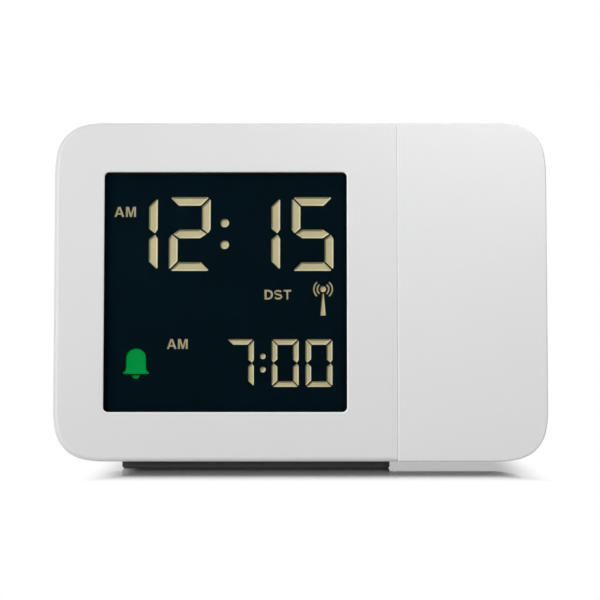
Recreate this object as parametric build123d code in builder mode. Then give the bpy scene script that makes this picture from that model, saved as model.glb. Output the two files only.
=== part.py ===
from build123d import *
from math import asin, cos, degrees, radians, sin, sqrt, tan
import os

# Projection alarm clock, in millimetres.
# X runs to the right across the face, Y to the back and Z up; the foot rests on Z = 0.
# The clock section holds the display; the projector section beside it turns on a hollow shaft
# that lies along X, so that its lens can point at the ceiling or at the wall behind.

os.makedirs("parts", exist_ok=True)

# ---------------------------------------------------------------- driving dimensions

# Outer form
clock_width = 95.2
projector_width = 41.6
seam_gap = 0.2
overall_depth = 44.0
body_height = 94.1
face_lean = 8.0
back_lean = 3.0
corner_radius = 10.0
corner_ease_radius = 28.0
corner_ease_turn = 12.0
edge_radius = 1.3
module_edge_radius = 0.5
back_radius = 8.0
wall = 2.0
bearing_wall = 2.3
foot_height = 2.1

# Clearances
fit_gap = 0.1
seat_gap = 0.05
run_gap = 0.3

# Front bezel and window
bezel_thickness = 3.0
bezel_lip_depth = 3.0
bezel_lip_thickness = 1.2
bezel_border = 13.8
window_corner = 1.4
window_chamfer = 0.35
window_lip = 1.0
pane_overlap = 1.6
pane_thickness = 1.6

# Display stack
lcd_gap = 0.6
lcd_overlap_x = 1.2
lcd_overlap_v = 3.3
lcd_thickness = 2.2
lcd_ledge = 3.2
frame_wall = 1.3
led_gap = 1.0
guide_thickness = 2.6
reflector_thickness = 0.2
zebra_inset = 5.0
zebra_width = 2.0
led_width = 2.4
led_length = 4.0
led_height = 2.2
board_thickness = 1.6
board_overhang = 1.5
board_margin = 5.0
board_gap = 0.3
board_screw_inset = 7.3
chip_size = 12.0
chip_height = 1.4
chip_rise = 8.0
crystal_radius = 1.5
crystal_length = 6.0
crystal_offset = 16.0
crystal_z = 55.0
capacitor_radius = 2.5
capacitor_height = 4.6
capacitor_places = ((22.0, 20.0), (29.0, 20.0), (22.0, 28.0))

# Housing screws and the pillars that they pass through
pillar_inset_x = 7.0
pillar_seam_inset = 5.7
pillar_inset_v = 13.5
pillar_radius = 3.5
boss_radius = 2.8
boss_length = 6.0
pillar_floor = 3.0
housing_screw_radius = 1.3
housing_screw_length = 8.0
housing_head_radius = 2.3
housing_head_height = 1.8
small_screw_radius = 1.0
small_screw_length = 5.0
small_head_radius = 1.8
small_head_height = 1.2
small_boss_radius = 1.8

# Batteries and their door
battery_inset = 39.0
battery_w = 32.0
cell_radius = 5.25
cell_length = 43.3
cell_nub_radius = 1.9
cell_nub_length = 1.2
cell_pitch = 12.0
spring_room = 6.5
pocket_play = 1.5
box_wall = 1.2
door_thickness = 2.0
door_overlap_x = 2.0
door_overlap_w = 2.4
door_gap = 0.2
door_pin_radius = 0.5
door_pin_length = 1.0
latch_width = 10.0
latch_depth = 1.2
latch_thickness = 1.2
contact_thickness = 0.4
contact_margin = 1.5
spring_wire_radius = 0.45
spring_radius = 3.2

# Controls on the back
control_board_t = 9.0
control_board_thickness = 1.2
control_board_left = 10.9
control_board_seam_inset = 11.3
control_board_low = 50.0
control_board_height = 34.0
control_screw_inset = 3.0
button_radius = 4.0
button_proud = 1.0
button_travel = 0.8
button_flange = 1.1
button_round = 0.6
plunger_radius = 1.6
plunger_engagement = 1.2
button_w = 73.0
button_inset = 24.5
button_pitch = 14.0
tact_size = 6.2
tact_height = 3.6
slider_w = 59.0
slider_length = 5.6
slider_height = 2.8
slider_proud = 1.2
slider_travel = 3.0
slider_flange = 0.9
slide_switch_length = 11.0
slide_switch_width = 5.4
slide_switch_height = 4.4
slide_stem_length = 2.4
slide_stem_width = 1.6
dial_inset = 64.5
dial_w = 66.0
dial_radius = 11.0
dial_thickness = 5.0
dial_proud = 1.8
dial_gap = 0.5
dial_grips = 28
grip_depth = 0.6
dial_hollow_radius = 7.9
well_wall = 1.5
spindle_radius = 2.0
encoder_size = 11.0
encoder_height = 3.4

# Snooze bar in the top
snooze_length = 64.0
snooze_clearance = 0.5
snooze_thickness = 3.2
snooze_travel = 1.0
snooze_flange = 1.0
snooze_switch_top = 84.0

# Back wall fittings
speaker_seam_inset = 17.1
speaker_w = 36.0
speaker_radius = 9.0
speaker_thickness = 5.0
speaker_basket = 3.0
speaker_magnet_radius = 6.3
speaker_ring_wall = 1.2
grille_hole_radius = 0.8
grille_inner_circle = 3.0
grille_inner_count = 6
grille_outer_circle = 6.0
grille_outer_count = 12
jack_seam_inset = 15.7
jack_w = 17.5
jack_width = 9.0
jack_height = 10.4
jack_length = 12.0
jack_nose_radius = 3.6
jack_bore_radius = 2.75
jack_pin_radius = 0.8
cradle_wall = 1.2

# Radio receiver and foot
rod_radius = 4.0
rod_length = 50.0
rod_inset = 40.5
rod_y = 8.0
rod_z = 10.6
coil_radius = 5.4
coil_length = 14.0
rod_cradle_width = 3.0
rod_cradle_spacing = 38.0
radio_board_seam_inset = 19.2
radio_board_y = 3.0
radio_board_length = 15.0
radio_board_width = 12.0
radio_rib_height = 1.8
foot_left_inset = 19.0
foot_seam_inset = 2.0
foot_front_inset = 4.5
foot_back_inset = 12.0
foot_recess = 0.5
foot_corner = 2.0

# Swivel and the wiring that passes through it
pivot_y = 4.0
pivot_z = 49.05
shaft_radius = 6.0
shaft_bore_radius = 3.5
shaft_flange_radius = 13.0
shaft_flange_thickness = 2.5
shaft_screw_circle = 9.6
shaft_screw_count = 3
shaft_screw_turn = 30.0
bush_wall = 1.5
bush_flange_radius = 9.2
bush_flange_thickness = 1.0
shaft_clearance = 0.06
spring_washer_thickness = 0.8
spring_washer_radius = 9.0
ring_thickness = 1.0
ring_radius = 8.4
ring_groove = 0.6
ring_mouth = 8.6
shaft_end = 1.5
stop_radius = 11.5
stop_pin_radius = 1.5
stop_depth = 1.4
swivel_range = 90.0
harness_radius = 1.5
harness_bend = 4.0
harness_clearance = 3.0
harness_slack = 4.0
connector_seam_inset = 22.7
connector_length = 8.0
connector_width = 5.0
connector_height = 2.5
ribbon_inset = 16.5
ribbon_width = 10.0
ribbon_thickness = 0.5
ribbon_bend = 2.0
ribbon_low = 58.0
ribbon_high = 66.0

# Projector section
module_edge = 0.3
plate_thickness = 2.0
plate_rebate = 1.0
plate_screw_inset = 5.5
plate_post_radius = 2.5
plate_post_length = 9.0
shelf_z = 28.0
shelf_thickness = 2.0
lamp_board_length = 30.0
lamp_board_width = 22.0
lamp_board_thickness = 1.2
lamp_size = 5.0
lamp_height = 1.2
lamp_dome_radius = 1.8
optics_block = 20.0
optics_flange_length = 30.0
optics_flange_thickness = 2.0
optics_screw_pitch = 26.0
optics_screw_offset = 6.0
optics_block_top = 58.0
optics_bore_radius = 7.2
condenser_radius = 8.0
condenser_z = 42.0
projection_lcd_size = 17.0
projection_lcd_thickness = 1.8
projection_lcd_z = 50.0
tube_radius = 9.6
focus_z = 76.0
focus_proud = 1.15
focus_thickness = 5.0
focus_grips = 30
focus_gap = 0.4
rib_thickness = 1.6
barrel_radius = 7.5
barrel_bore_radius = 6.0
barrel_low = 66.0
barrel_top = 87.6
lens_radius = 6.6
lens_edge = 1.6
lens_crown = 1.3
lens_relief = 0.3
focus_lead = 4.0
lens_bezel_radius = 9.3
lens_bezel_low = 89.8
lens_bezel_flange = 1.6
lens_ledge = 1.0
cover_radius = 7.6
cover_thickness = 1.2
cover_sink = 3.2

# ---------------------------------------------------------------- derived places

lean = radians(face_lean)
rake = radians(back_lean)
overall_width = clock_width + seam_gap + projector_width
left_x = -overall_width / 2
right_x = overall_width / 2
seam_x = left_x + clock_width
module_x = seam_x + seam_gap
top_z = foot_height + body_height

# The rounded lower edges set the overall depth, so the sharp edges stand a little further out.
front_edge_y = -overall_depth / 2 - module_edge_radius * (tan(lean) + 1 / cos(lean) - 1)
back_edge_y = overall_depth / 2 + back_radius * (tan(rake) + 1 / cos(rake) - 1)

# front_plane looks out of the face: local Y runs up the face, and negative offsets go in.
# back_plane looks in from the back: local Y runs up the back, and positive offsets go in.
front_plane = Plane(origin=(0, front_edge_y, foot_height), x_dir=(1, 0, 0), z_dir=(0, -cos(lean), sin(lean)))
back_plane = Plane(origin=(0, back_edge_y, foot_height), x_dir=(1, 0, 0), z_dir=(0, -cos(rake), -sin(rake)))
face_height = body_height / cos(lean)

# A rounded corner of the outline has a tight arc in its middle, which two wide arcs lead into.
corner_ease = radians(corner_ease_turn)
corner_reach = corner_ease_radius - (corner_ease_radius - corner_radius) * (cos(corner_ease) - sin(corner_ease))


def face_y(z, behind=0.0):
    """Y, at height z, of the plane that lies this far behind the face."""
    return front_edge_y + (z - foot_height) * tan(lean) + behind / cos(lean)


def back_y(z, inside=0.0):
    """Y, at height z, of the plane that lies this far inside the back."""
    return back_edge_y - (z - foot_height) * tan(rake) - inside / cos(rake)


def section_form(straight_x, round_x, inset=0.0, front_inset=0.0, front_radius=edge_radius, round_seam=False):
    """One section of the body: straight at one side, rounded at the two corners of the other."""
    low = foot_height + inset
    high = top_z - inset
    side = 1 if round_x > straight_x else -1
    reach = corner_reach - inset
    corner_arcs = (
        (corner_ease_radius - inset, side * corner_ease_turn),
        (corner_radius - inset, side * (90 - 2 * corner_ease_turn)),
        (corner_ease_radius - inset, side * corner_ease_turn),
    )
    with BuildPart() as form:
        with BuildSketch(Plane.XZ):
            with BuildLine():
                edge = Line((straight_x, low), (round_x - side * reach, low))
                for radius, turn in corner_arcs:
                    edge = JernArc(edge @ 1, edge % 1, radius, turn)
                edge = Line(edge @ 1, (round_x, high - reach))
                for radius, turn in corner_arcs:
                    edge = JernArc(edge @ 1, edge % 1, radius, turn)
                Polyline(edge @ 1, (straight_x, high), (straight_x, low))
            make_face()
        extrude(amount=overall_depth, both=True)
        with BuildSketch(Plane.YZ.offset(min(straight_x, round_x))):
            with BuildLine():
                Polyline(
                    (face_y(low, front_inset), low),
                    (back_y(low, inset), low),
                    (back_y(high, inset), high),
                    (face_y(high, front_inset), high),
                    close=True,
                )
            make_face()
        extrude(amount=abs(round_x - straight_x), mode=Mode.INTERSECT)
        back = form.faces().sort_by(Axis((0, 0, 0), (0, cos(rake), sin(rake))))[-1]
        back_edges = [edge for edge in back.edges() if abs(edge.center().X - straight_x) > seam_gap]
        if inset < wall:
            fillet(back_edges, back_radius - inset)
        else:
            chamfer(back_edges, (2 - sqrt(2)) * (back_radius - inset))
        if inset == 0:
            front = form.faces().sort_by(Axis((0, 0, 0), (0, -cos(lean), sin(lean))))[-1]
            edges = front.edges()
            if not round_seam:
                edges = [edge for edge in edges if abs(edge.center().X - straight_x) > seam_gap]
            fillet(edges, front_radius)
    return form.part


def screw_set(seat, places, radius, length, head_radius, head_height, side):
    """Pan-head screws on a seat plane, with the heads on the side that is given."""
    with BuildPart() as screws:
        with BuildSketch(seat):
            with Locations(*places):
                Circle(head_radius)
        extrude(amount=side * head_height)
        with BuildSketch(seat):
            with Locations(*places):
                Circle(radius)
        extrude(amount=-side * length)
    return screws.part


clock_outer = section_form(seam_x, left_x, round_seam=True)
clock_cavity = section_form(seam_x - bearing_wall, left_x + wall, inset=wall)

window_x = (left_x + seam_x) / 2
window_v = face_height / 2
window_width = clock_width - 2 * bezel_border
window_height = face_height - 2 * bezel_border
lcd_width = window_width + 2 * lcd_overlap_x
lcd_height = window_height + 2 * lcd_overlap_v
guide_width = lcd_width - 2 * frame_wall - led_width - led_gap
zebra_length = lcd_width - 2 * zebra_inset
board_width = lcd_width + 2 * board_overhang
pane_front = window_lip
lcd_front = pane_front + pane_thickness + lcd_gap
lcd_contact = lcd_front + lcd_thickness / 2
lcd_back = lcd_front + lcd_thickness
guide_front = lcd_back + fit_gap
guide_back = guide_front + guide_thickness
reflector_back = guide_back + reflector_thickness
board_front = reflector_back + board_gap
board_back = board_front + board_thickness
board_height = face_height - 2 * board_margin
guide_height = lcd_height - 2 * lcd_ledge
zebra_v = lcd_height / 2 - zebra_width / 2 - 2 * fit_gap

pillar_places = [
    (x, v)
    for x in (left_x + pillar_inset_x, seam_x - pillar_seam_inset)
    for v in (pillar_inset_v, face_height - pillar_inset_v)
]
pillar_front = bezel_thickness + boss_length + fit_gap
pillar_seat = pillar_front + pillar_floor

board_screw_u = board_width / 2 - board_screw_inset
board_screw_v = board_height / 2 - small_boss_radius
board_screw_places = [
    (window_x + side * board_screw_u, window_v + end * board_screw_v) for side in (-1, 1) for end in (-1, 1)
]

# ---------------------------------------------------------------- front bezel and window

lip_inset = wall + fit_gap
with BuildPart() as bezel_lip:
    add(section_form(seam_x - bearing_wall - fit_gap, left_x + lip_inset, inset=lip_inset))
    add(
        section_form(
            seam_x - bearing_wall - fit_gap - bezel_lip_thickness,
            left_x + lip_inset + bezel_lip_thickness,
            inset=lip_inset + bezel_lip_thickness,
        ),
        mode=Mode.SUBTRACT,
    )
    split(bisect_by=front_plane.offset(-(bezel_thickness - fit_gap)), keep=Keep.BOTTOM)
    split(bisect_by=front_plane.offset(-(bezel_thickness + bezel_lip_depth)), keep=Keep.TOP)

with BuildPart() as front_bezel:
    add(clock_outer)
    split(bisect_by=front_plane.offset(-bezel_thickness), keep=Keep.TOP)
    add(bezel_lip.part)
    with BuildSketch(front_plane.offset(-bezel_thickness)):
        with Locations(*pillar_places):
            Circle(boss_radius)
    extrude(amount=-boss_length)
    with BuildSketch(front_plane.offset(-bezel_thickness)):
        with Locations(*board_screw_places):
            Circle(small_boss_radius)
    extrude(amount=-(board_front - bezel_thickness))
    with BuildSketch(front_plane.offset(-(pillar_seat - housing_screw_length))):
        with Locations(*pillar_places):
            Circle(housing_screw_radius)
    extrude(amount=-housing_screw_length, mode=Mode.SUBTRACT)
    with BuildSketch(front_plane.offset(-(board_back - small_screw_length))):
        with Locations(*board_screw_places):
            Circle(small_screw_radius)
    extrude(amount=-small_screw_length, mode=Mode.SUBTRACT)
    with BuildSketch(front_plane):
        with Locations((window_x, window_v)):
            RectangleRounded(window_width, window_height, window_corner)
    extrude(amount=-bezel_thickness, mode=Mode.SUBTRACT)
    with BuildSketch(front_plane.offset(-pane_front)):
        with Locations((window_x, window_v)):
            RectangleRounded(
                window_width + 2 * (pane_overlap + fit_gap),
                window_height + 2 * (pane_overlap + fit_gap),
                window_corner,
            )
    extrude(amount=-bezel_thickness, mode=Mode.SUBTRACT)
    face = front_bezel.faces().sort_by(Axis((0, 0, 0), (0, -cos(lean), sin(lean))))[-1]
    chamfer(face.inner_wires()[0].edges(), window_chamfer)
front_bezel.part.label = "front_bezel"

with BuildPart() as display_window:
    with BuildSketch(front_plane.offset(-pane_front)):
        with Locations((window_x, window_v)):
            RectangleRounded(window_width + 2 * pane_overlap, window_height + 2 * pane_overlap, window_corner)
    extrude(amount=-pane_thickness)
display_window.part.label = "display_window"

# ---------------------------------------------------------------- display stack

with BuildPart() as lcd_glass:
    with BuildSketch(front_plane.offset(-lcd_front)):
        with Locations((window_x, window_v)):
            Rectangle(lcd_width, lcd_height)
    extrude(amount=-lcd_thickness / 2)
    with BuildSketch(front_plane.offset(-lcd_contact)):
        with Locations((window_x, window_v)):
            Rectangle(lcd_width, lcd_height - 2 * lcd_ledge)
    extrude(amount=-lcd_thickness / 2)
lcd_glass.part.label = "lcd_glass"

guide_x = window_x + (lcd_width - 2 * frame_wall - guide_width) / 2
with BuildPart() as lcd_frame:
    with BuildSketch(front_plane.offset(-lcd_front)):
        with Locations((window_x, window_v)):
            Rectangle(lcd_width + 2 * (fit_gap + frame_wall), lcd_height + 2 * (fit_gap + frame_wall))
            Rectangle(lcd_width + 2 * fit_gap, lcd_height + 2 * fit_gap, mode=Mode.SUBTRACT)
    extrude(amount=-(board_front - seat_gap - lcd_front))
    with BuildSketch(front_plane.offset(-guide_front)):
        with Locations((window_x, window_v)):
            Rectangle(lcd_width + 2 * (fit_gap + frame_wall), lcd_height + 2 * (fit_gap + frame_wall))
            Rectangle(lcd_width + 2 * (fit_gap - frame_wall), guide_height + 2 * fit_gap, mode=Mode.SUBTRACT)
        with Locations((window_x, window_v - zebra_v), (window_x, window_v + zebra_v)):
            Rectangle(zebra_length + 2 * fit_gap, zebra_width + 2 * fit_gap, mode=Mode.SUBTRACT)
    extrude(amount=-(board_front - seat_gap - guide_front))
lcd_frame.part.label = "lcd_frame"

with BuildPart() as light_guide:
    with BuildSketch(front_plane.offset(-guide_front)):
        with Locations((guide_x, window_v)):
            Rectangle(guide_width, guide_height)
    extrude(amount=-guide_thickness)
light_guide.part.label = "light_guide"

with BuildPart() as reflector_sheet:
    with BuildSketch(front_plane.offset(-guide_back)):
        with Locations((guide_x, window_v)):
            Rectangle(guide_width, guide_height)
    extrude(amount=-reflector_thickness)
reflector_sheet.part.label = "reflector_sheet"

led_x = guide_x - guide_width / 2 - fit_gap - led_width / 2
with BuildPart() as backlight_leds:
    with BuildSketch(front_plane.offset(-board_front)):
        with Locations((led_x, window_v)):
            with GridLocations(0, guide_height / 3, 1, 3):
                Rectangle(led_width, led_length)
    extrude(amount=led_height)
backlight_leds.part.label = "backlight_leds"

with BuildPart() as zebra_strips:
    with BuildSketch(front_plane.offset(-lcd_contact)):
        with Locations((window_x, window_v - zebra_v), (window_x, window_v + zebra_v)):
            Rectangle(zebra_length, zebra_width)
    extrude(amount=-(board_front - lcd_contact))
zebra_strips.part.label = "zebra_strips"

# ---------------------------------------------------------------- main board

with BuildPart() as main_board:
    with BuildSketch(front_plane.offset(-board_front)):
        with Locations((window_x, window_v)):
            Rectangle(board_width, board_height)
        with Locations(*board_screw_places):
            Circle(small_screw_radius + fit_gap, mode=Mode.SUBTRACT)
    extrude(amount=-board_thickness)
main_board.part.label = "main_board"

with BuildPart() as board_screws:
    add(
        screw_set(
            front_plane.offset(-board_back),
            board_screw_places,
            small_screw_radius,
            small_screw_length,
            small_head_radius,
            small_head_height,
            -1,
        )
    )
board_screws.part.label = "board_screws"

with BuildPart() as main_chip:
    with BuildSketch(front_plane.offset(-board_back)):
        with Locations((window_x, window_v + chip_rise)):
            Rectangle(chip_size, chip_size)
    extrude(amount=-chip_height)
    chip_top = main_chip.faces().sort_by(Axis((0, 0, 0), (0, cos(lean), -sin(lean))))[-1]
    chamfer(chip_top.edges(), chip_height / 4)
main_chip.part.label = "main_chip"

with BuildPart() as quartz_crystal:
    with BuildSketch(Plane.YZ.offset(window_x - crystal_offset)):
        with Locations((face_y(crystal_z, board_back + crystal_radius), crystal_z)):
            Circle(crystal_radius)
    extrude(amount=crystal_length)
quartz_crystal.part.label = "quartz_crystal"

with BuildPart() as board_capacitors:
    with BuildSketch(front_plane.offset(-board_back)):
        with Locations(*[(window_x + x, v) for x, v in capacitor_places]):
            Circle(capacitor_radius)
    extrude(amount=-capacitor_height)
board_capacitors.part.label = "board_capacitors"

# ---------------------------------------------------------------- rear housing

battery_x = left_x + battery_inset
rod_x = left_x + rod_inset
dial_x = left_x + dial_inset
time_button_x = left_x + button_inset
alarm_button_x = time_button_x + button_pitch
alarm_slider_x = time_button_x
projection_slider_x = alarm_button_x
speaker_x = seam_x - speaker_seam_inset
jack_x = seam_x - jack_seam_inset
radio_board_x = seam_x - radio_board_seam_inset
grille_rings = ((grille_inner_circle, grille_inner_count), (grille_outer_circle, grille_outer_count))

cell_t = door_thickness + run_gap + cell_radius
pocket_depth = cell_t + cell_radius + fit_gap
pocket_length = cell_length + cell_nub_length + spring_room
pocket_height = cell_pitch + 2 * cell_radius + pocket_play
door_width = pocket_length + 2 * door_overlap_x
door_height = pocket_height + 2 * door_overlap_w
door_low = battery_w - door_height / 2
hinge_w = door_low + door_thickness / 2
hinge_t = door_thickness / 2
recess_depth = door_thickness + fit_gap
latch_w = battery_w + pocket_height / 2 - 1.5 * latch_thickness

control_board_width = clock_width - control_board_left - control_board_seam_inset
control_board_x = left_x + control_board_left + control_board_width / 2
control_board_w = control_board_low + control_board_height / 2
control_screw_u = control_board_width / 2 - control_screw_inset
control_screw_w = control_board_height / 2 - control_screw_inset
control_screw_places = [
    (control_board_x + side * control_screw_u, control_board_w + end * control_screw_w)
    for side in (-1, 1)
    for end in (-1, 1)
]
well_radius = dial_radius + dial_gap
well_depth = dial_thickness - dial_proud + run_gap
slider_slot_length = slider_length + slider_travel + 2 * run_gap
slider_slot_height = slider_height + 2 * run_gap
snooze_front = face_y(top_z, bezel_thickness + bezel_lip_depth) + snooze_clearance
snooze_back = back_y(top_z, wall) - (back_radius - wall)
snooze_y = (snooze_front + snooze_back) / 2
snooze_depth = snooze_back - snooze_front - 2 * snooze_flange
snooze_switch_y = (
    back_y(snooze_switch_top, control_board_t + control_board_thickness) - tact_height / 2 - seat_gap
)
foot_length = clock_width - foot_left_inset - foot_seam_inset
foot_depth = overall_depth - foot_front_inset - foot_back_inset
foot_x = left_x + foot_left_inset + foot_length / 2
foot_y = -overall_depth / 2 + foot_front_inset + foot_depth / 2
bush_outer_radius = shaft_radius + shaft_clearance + bush_wall
swivel_plane = Plane(origin=(seam_x, pivot_y, pivot_z), x_dir=(0, 1, 0), z_dir=(1, 0, 0))
stop_arc = Edge.make_circle(stop_radius, Plane.XY, 90 - swivel_range, 90)

with BuildPart() as housing_pillars:
    with BuildSketch(front_plane.offset(-pillar_front)):
        with Locations(*pillar_places):
            Circle(pillar_radius)
    extrude(amount=-overall_depth)
    add(clock_outer, mode=Mode.INTERSECT)

with BuildPart() as rear_housing:
    add(clock_outer)
    split(bisect_by=front_plane.offset(-bezel_thickness), keep=Keep.BOTTOM)
    add(clock_cavity, mode=Mode.SUBTRACT)
    add(housing_pillars.part)
    # Battery box with the frame that the door closes on
    with BuildSketch(back_plane.offset(wall / 2)):
        with Locations((battery_x, battery_w)):
            Rectangle(door_width + 2 * (door_gap + box_wall), door_height + 2 * (door_gap + box_wall))
    extrude(amount=recess_depth + box_wall - wall / 2)
    with BuildSketch(back_plane.offset(wall / 2)):
        with Locations((battery_x, battery_w)):
            Rectangle(pocket_length + 2 * box_wall, pocket_height + 2 * box_wall)
    extrude(amount=pocket_depth + box_wall - wall / 2)
    with BuildSketch(back_plane.offset(-wall)):
        with Locations((battery_x, battery_w)):
            Rectangle(door_width + 2 * door_gap, door_height + 2 * door_gap)
    extrude(amount=wall + recess_depth, mode=Mode.SUBTRACT)
    with BuildSketch(back_plane.offset(-wall)):
        with Locations((battery_x, battery_w)):
            Rectangle(pocket_length, pocket_height)
    extrude(amount=wall + pocket_depth, mode=Mode.SUBTRACT)
    pin_hole_reach = door_width / 2 + door_gap + door_pin_length
    hinge_plane = Plane(
        origin=back_plane.from_local_coords((battery_x - pin_hole_reach, hinge_w, hinge_t)),
        x_dir=(0, 1, 0),
        z_dir=(1, 0, 0),
    )
    with BuildSketch(hinge_plane):
        Circle(door_pin_radius + fit_gap)
    extrude(amount=2 * pin_hole_reach, mode=Mode.SUBTRACT)
    # Bosses that carry the control board
    with BuildSketch(back_plane.offset(wall / 2)):
        with Locations(*control_screw_places):
            Circle(small_boss_radius + fit_gap)
    extrude(amount=control_board_t - wall / 2)
    with BuildSketch(back_plane.offset(control_board_t)):
        with Locations(*control_screw_places):
            Circle(small_screw_radius)
    extrude(amount=-(small_screw_length - control_board_thickness), mode=Mode.SUBTRACT)
    # Well of the setting dial
    with BuildSketch(back_plane.offset(wall / 2)):
        with Locations((dial_x, dial_w)):
            Circle(well_radius + well_wall)
    extrude(amount=well_depth + well_wall - wall / 2)
    with BuildSketch(back_plane.offset(-wall)):
        with Locations((dial_x, dial_w)):
            Circle(well_radius)
    extrude(amount=wall + well_depth, mode=Mode.SUBTRACT)
    with BuildSketch(back_plane):
        with Locations((dial_x, dial_w)):
            Circle(spindle_radius + fit_gap)
        with Locations((time_button_x, button_w), (alarm_button_x, button_w)):
            Circle(button_radius + run_gap)
        with Locations((alarm_slider_x, slider_w), (projection_slider_x, slider_w)):
            Rectangle(slider_slot_length, slider_slot_height)
    extrude(amount=well_depth + 2 * well_wall, mode=Mode.SUBTRACT)
    # Speaker ring and its grille
    with BuildSketch(back_plane.offset(wall / 2)):
        with Locations((speaker_x, speaker_w)):
            Circle(speaker_radius + fit_gap + speaker_ring_wall)
            Circle(speaker_radius + fit_gap, mode=Mode.SUBTRACT)
    extrude(amount=wall / 2 + speaker_thickness)
    with BuildSketch(back_plane.offset(-wall)):
        with Locations((speaker_x, speaker_w)):
            Circle(grille_hole_radius)
            for hole_circle, hole_count in grille_rings:
                with PolarLocations(hole_circle, hole_count):
                    Circle(grille_hole_radius)
    extrude(amount=3 * wall, mode=Mode.SUBTRACT)
    # Cradle of the power inlet
    with BuildSketch(back_plane.offset(wall / 2)):
        with Locations((jack_x, jack_w)):
            Rectangle(jack_width + 2 * (fit_gap + cradle_wall), jack_height + 2 * (fit_gap + cradle_wall))
            Rectangle(jack_width + 2 * fit_gap, jack_height + 2 * fit_gap, mode=Mode.SUBTRACT)
    extrude(amount=wall / 2 + jack_length / 2)
    with BuildSketch(back_plane.offset(-wall)):
        with Locations((jack_x, jack_w)):
            Circle(jack_nose_radius + fit_gap)
    extrude(amount=3 * wall, mode=Mode.SUBTRACT)
    # Cradles of the ferrite rod
    with BuildSketch(Plane.YZ.offset(rod_x - (rod_cradle_spacing + rod_cradle_width) / 2)):
        with Locations((rod_y, (foot_height + wall + rod_z) / 2 - seat_gap)):
            Rectangle(2 * (rod_radius + cradle_wall), rod_z - foot_height - wall + 2 * seat_gap)
    extrude(amount=rod_cradle_width)
    with BuildSketch(Plane.YZ.offset(rod_x + (rod_cradle_spacing - rod_cradle_width) / 2)):
        with Locations((rod_y, (foot_height + wall + rod_z) / 2 - seat_gap)):
            Rectangle(2 * (rod_radius + cradle_wall), rod_z - foot_height - wall + 2 * seat_gap)
    extrude(amount=rod_cradle_width)
    with BuildSketch(Plane.YZ.offset(rod_x - rod_length / 2)):
        with Locations((rod_y, rod_z)):
            Circle(rod_radius + fit_gap)
    extrude(amount=rod_length, mode=Mode.SUBTRACT)
    # Ribs under the radio board
    with BuildSketch(Plane.XY.offset(foot_height + wall - seat_gap)):
        with Locations((radio_board_x, radio_board_y)):
            with GridLocations(radio_board_length - cradle_wall, 0, 2, 1):
                Rectangle(cradle_wall, radio_board_width)
    extrude(amount=radio_rib_height + seat_gap)
    # Slot of the snooze bar
    with BuildSketch(Plane.XY.offset(top_z + wall)):
        with Locations((window_x, snooze_y)):
            RectangleRounded(snooze_length + 2 * run_gap, snooze_depth + 2 * run_gap, window_corner + run_gap)
    extrude(amount=-3 * wall, mode=Mode.SUBTRACT)
    # Screw passages through the pillars, opened from the back
    with BuildSketch(front_plane.offset(-pillar_front)):
        with Locations(*pillar_places):
            Circle(housing_screw_radius + fit_gap)
    extrude(amount=-pillar_floor, mode=Mode.SUBTRACT)
    with BuildSketch(front_plane.offset(-pillar_seat)):
        with Locations(*pillar_places):
            Circle(housing_head_radius + run_gap)
    extrude(amount=-overall_depth, mode=Mode.SUBTRACT)
    # Recess of the foot
    with BuildSketch(Plane.XY.offset(foot_height)):
        with Locations((foot_x, foot_y)):
            RectangleRounded(foot_length + 2 * seat_gap, foot_depth + 2 * seat_gap, foot_corner)
    extrude(amount=foot_recess, mode=Mode.SUBTRACT)
    # Bearing seat and the blind groove that stops the swivel
    with BuildSketch(swivel_plane):
        Circle(bush_outer_radius)
    extrude(amount=-bearing_wall, mode=Mode.SUBTRACT)
    with BuildSketch(swivel_plane):
        SlotArc(stop_arc, 2 * (stop_pin_radius + run_gap))
    extrude(amount=-stop_depth, mode=Mode.SUBTRACT)
rear_housing.part.label = "rear_housing"

with BuildPart() as housing_screws:
    add(
        screw_set(
            front_plane.offset(-pillar_seat),
            pillar_places,
            housing_screw_radius,
            housing_screw_length,
            housing_head_radius,
            housing_head_height,
            -1,
        )
    )
housing_screws.part.label = "housing_screws"

with BuildPart() as rubber_foot:
    with BuildSketch():
        with Locations((foot_x, foot_y)):
            RectangleRounded(foot_length, foot_depth, foot_corner)
    extrude(amount=foot_height + foot_recess)
    chamfer(rubber_foot.faces().sort_by(Axis.Z)[0].edges(), foot_recess)
rubber_foot.part.label = "rubber_foot"

# ---------------------------------------------------------------- batteries

cell_rows = (battery_w - cell_pitch / 2, battery_w + cell_pitch / 2)
pocket_left = battery_x - pocket_length / 2
pocket_right = battery_x + pocket_length / 2
cell_ends = (
    (pocket_right - contact_thickness - cell_nub_length, 1),
    (pocket_left + contact_thickness + cell_nub_length, -1),
)

with BuildPart() as battery_cells:
    for cell_w, (end_x, side) in zip(cell_rows, cell_ends):
        cell_plane = Plane(
            origin=back_plane.from_local_coords((end_x, cell_w, cell_t)),
            x_dir=(0, side, 0),
            z_dir=(side, 0, 0),
        )
        with BuildSketch(cell_plane):
            Circle(cell_radius)
        extrude(amount=-cell_length)
        with BuildSketch(cell_plane):
            Circle(cell_nub_radius)
        extrude(amount=cell_nub_length)
battery_cells.part.label = "battery_cells"

contact_size = 2 * cell_radius - contact_margin
with BuildPart() as battery_contacts:
    for side, wall_x in ((-1, pocket_left), (1, pocket_right)):
        contact_plane = Plane(
            origin=back_plane.from_local_coords((wall_x, battery_w, cell_t)),
            x_dir=back_plane.y_dir,
            z_dir=(-side, 0, 0),
        )
        with BuildSketch(contact_plane):
            with GridLocations(cell_pitch, 0, 2, 1):
                Rectangle(contact_size, contact_size)
            Rectangle(cell_pitch, contact_size / 3)
        extrude(amount=contact_thickness)
battery_contacts.part.label = "battery_contacts"

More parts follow.
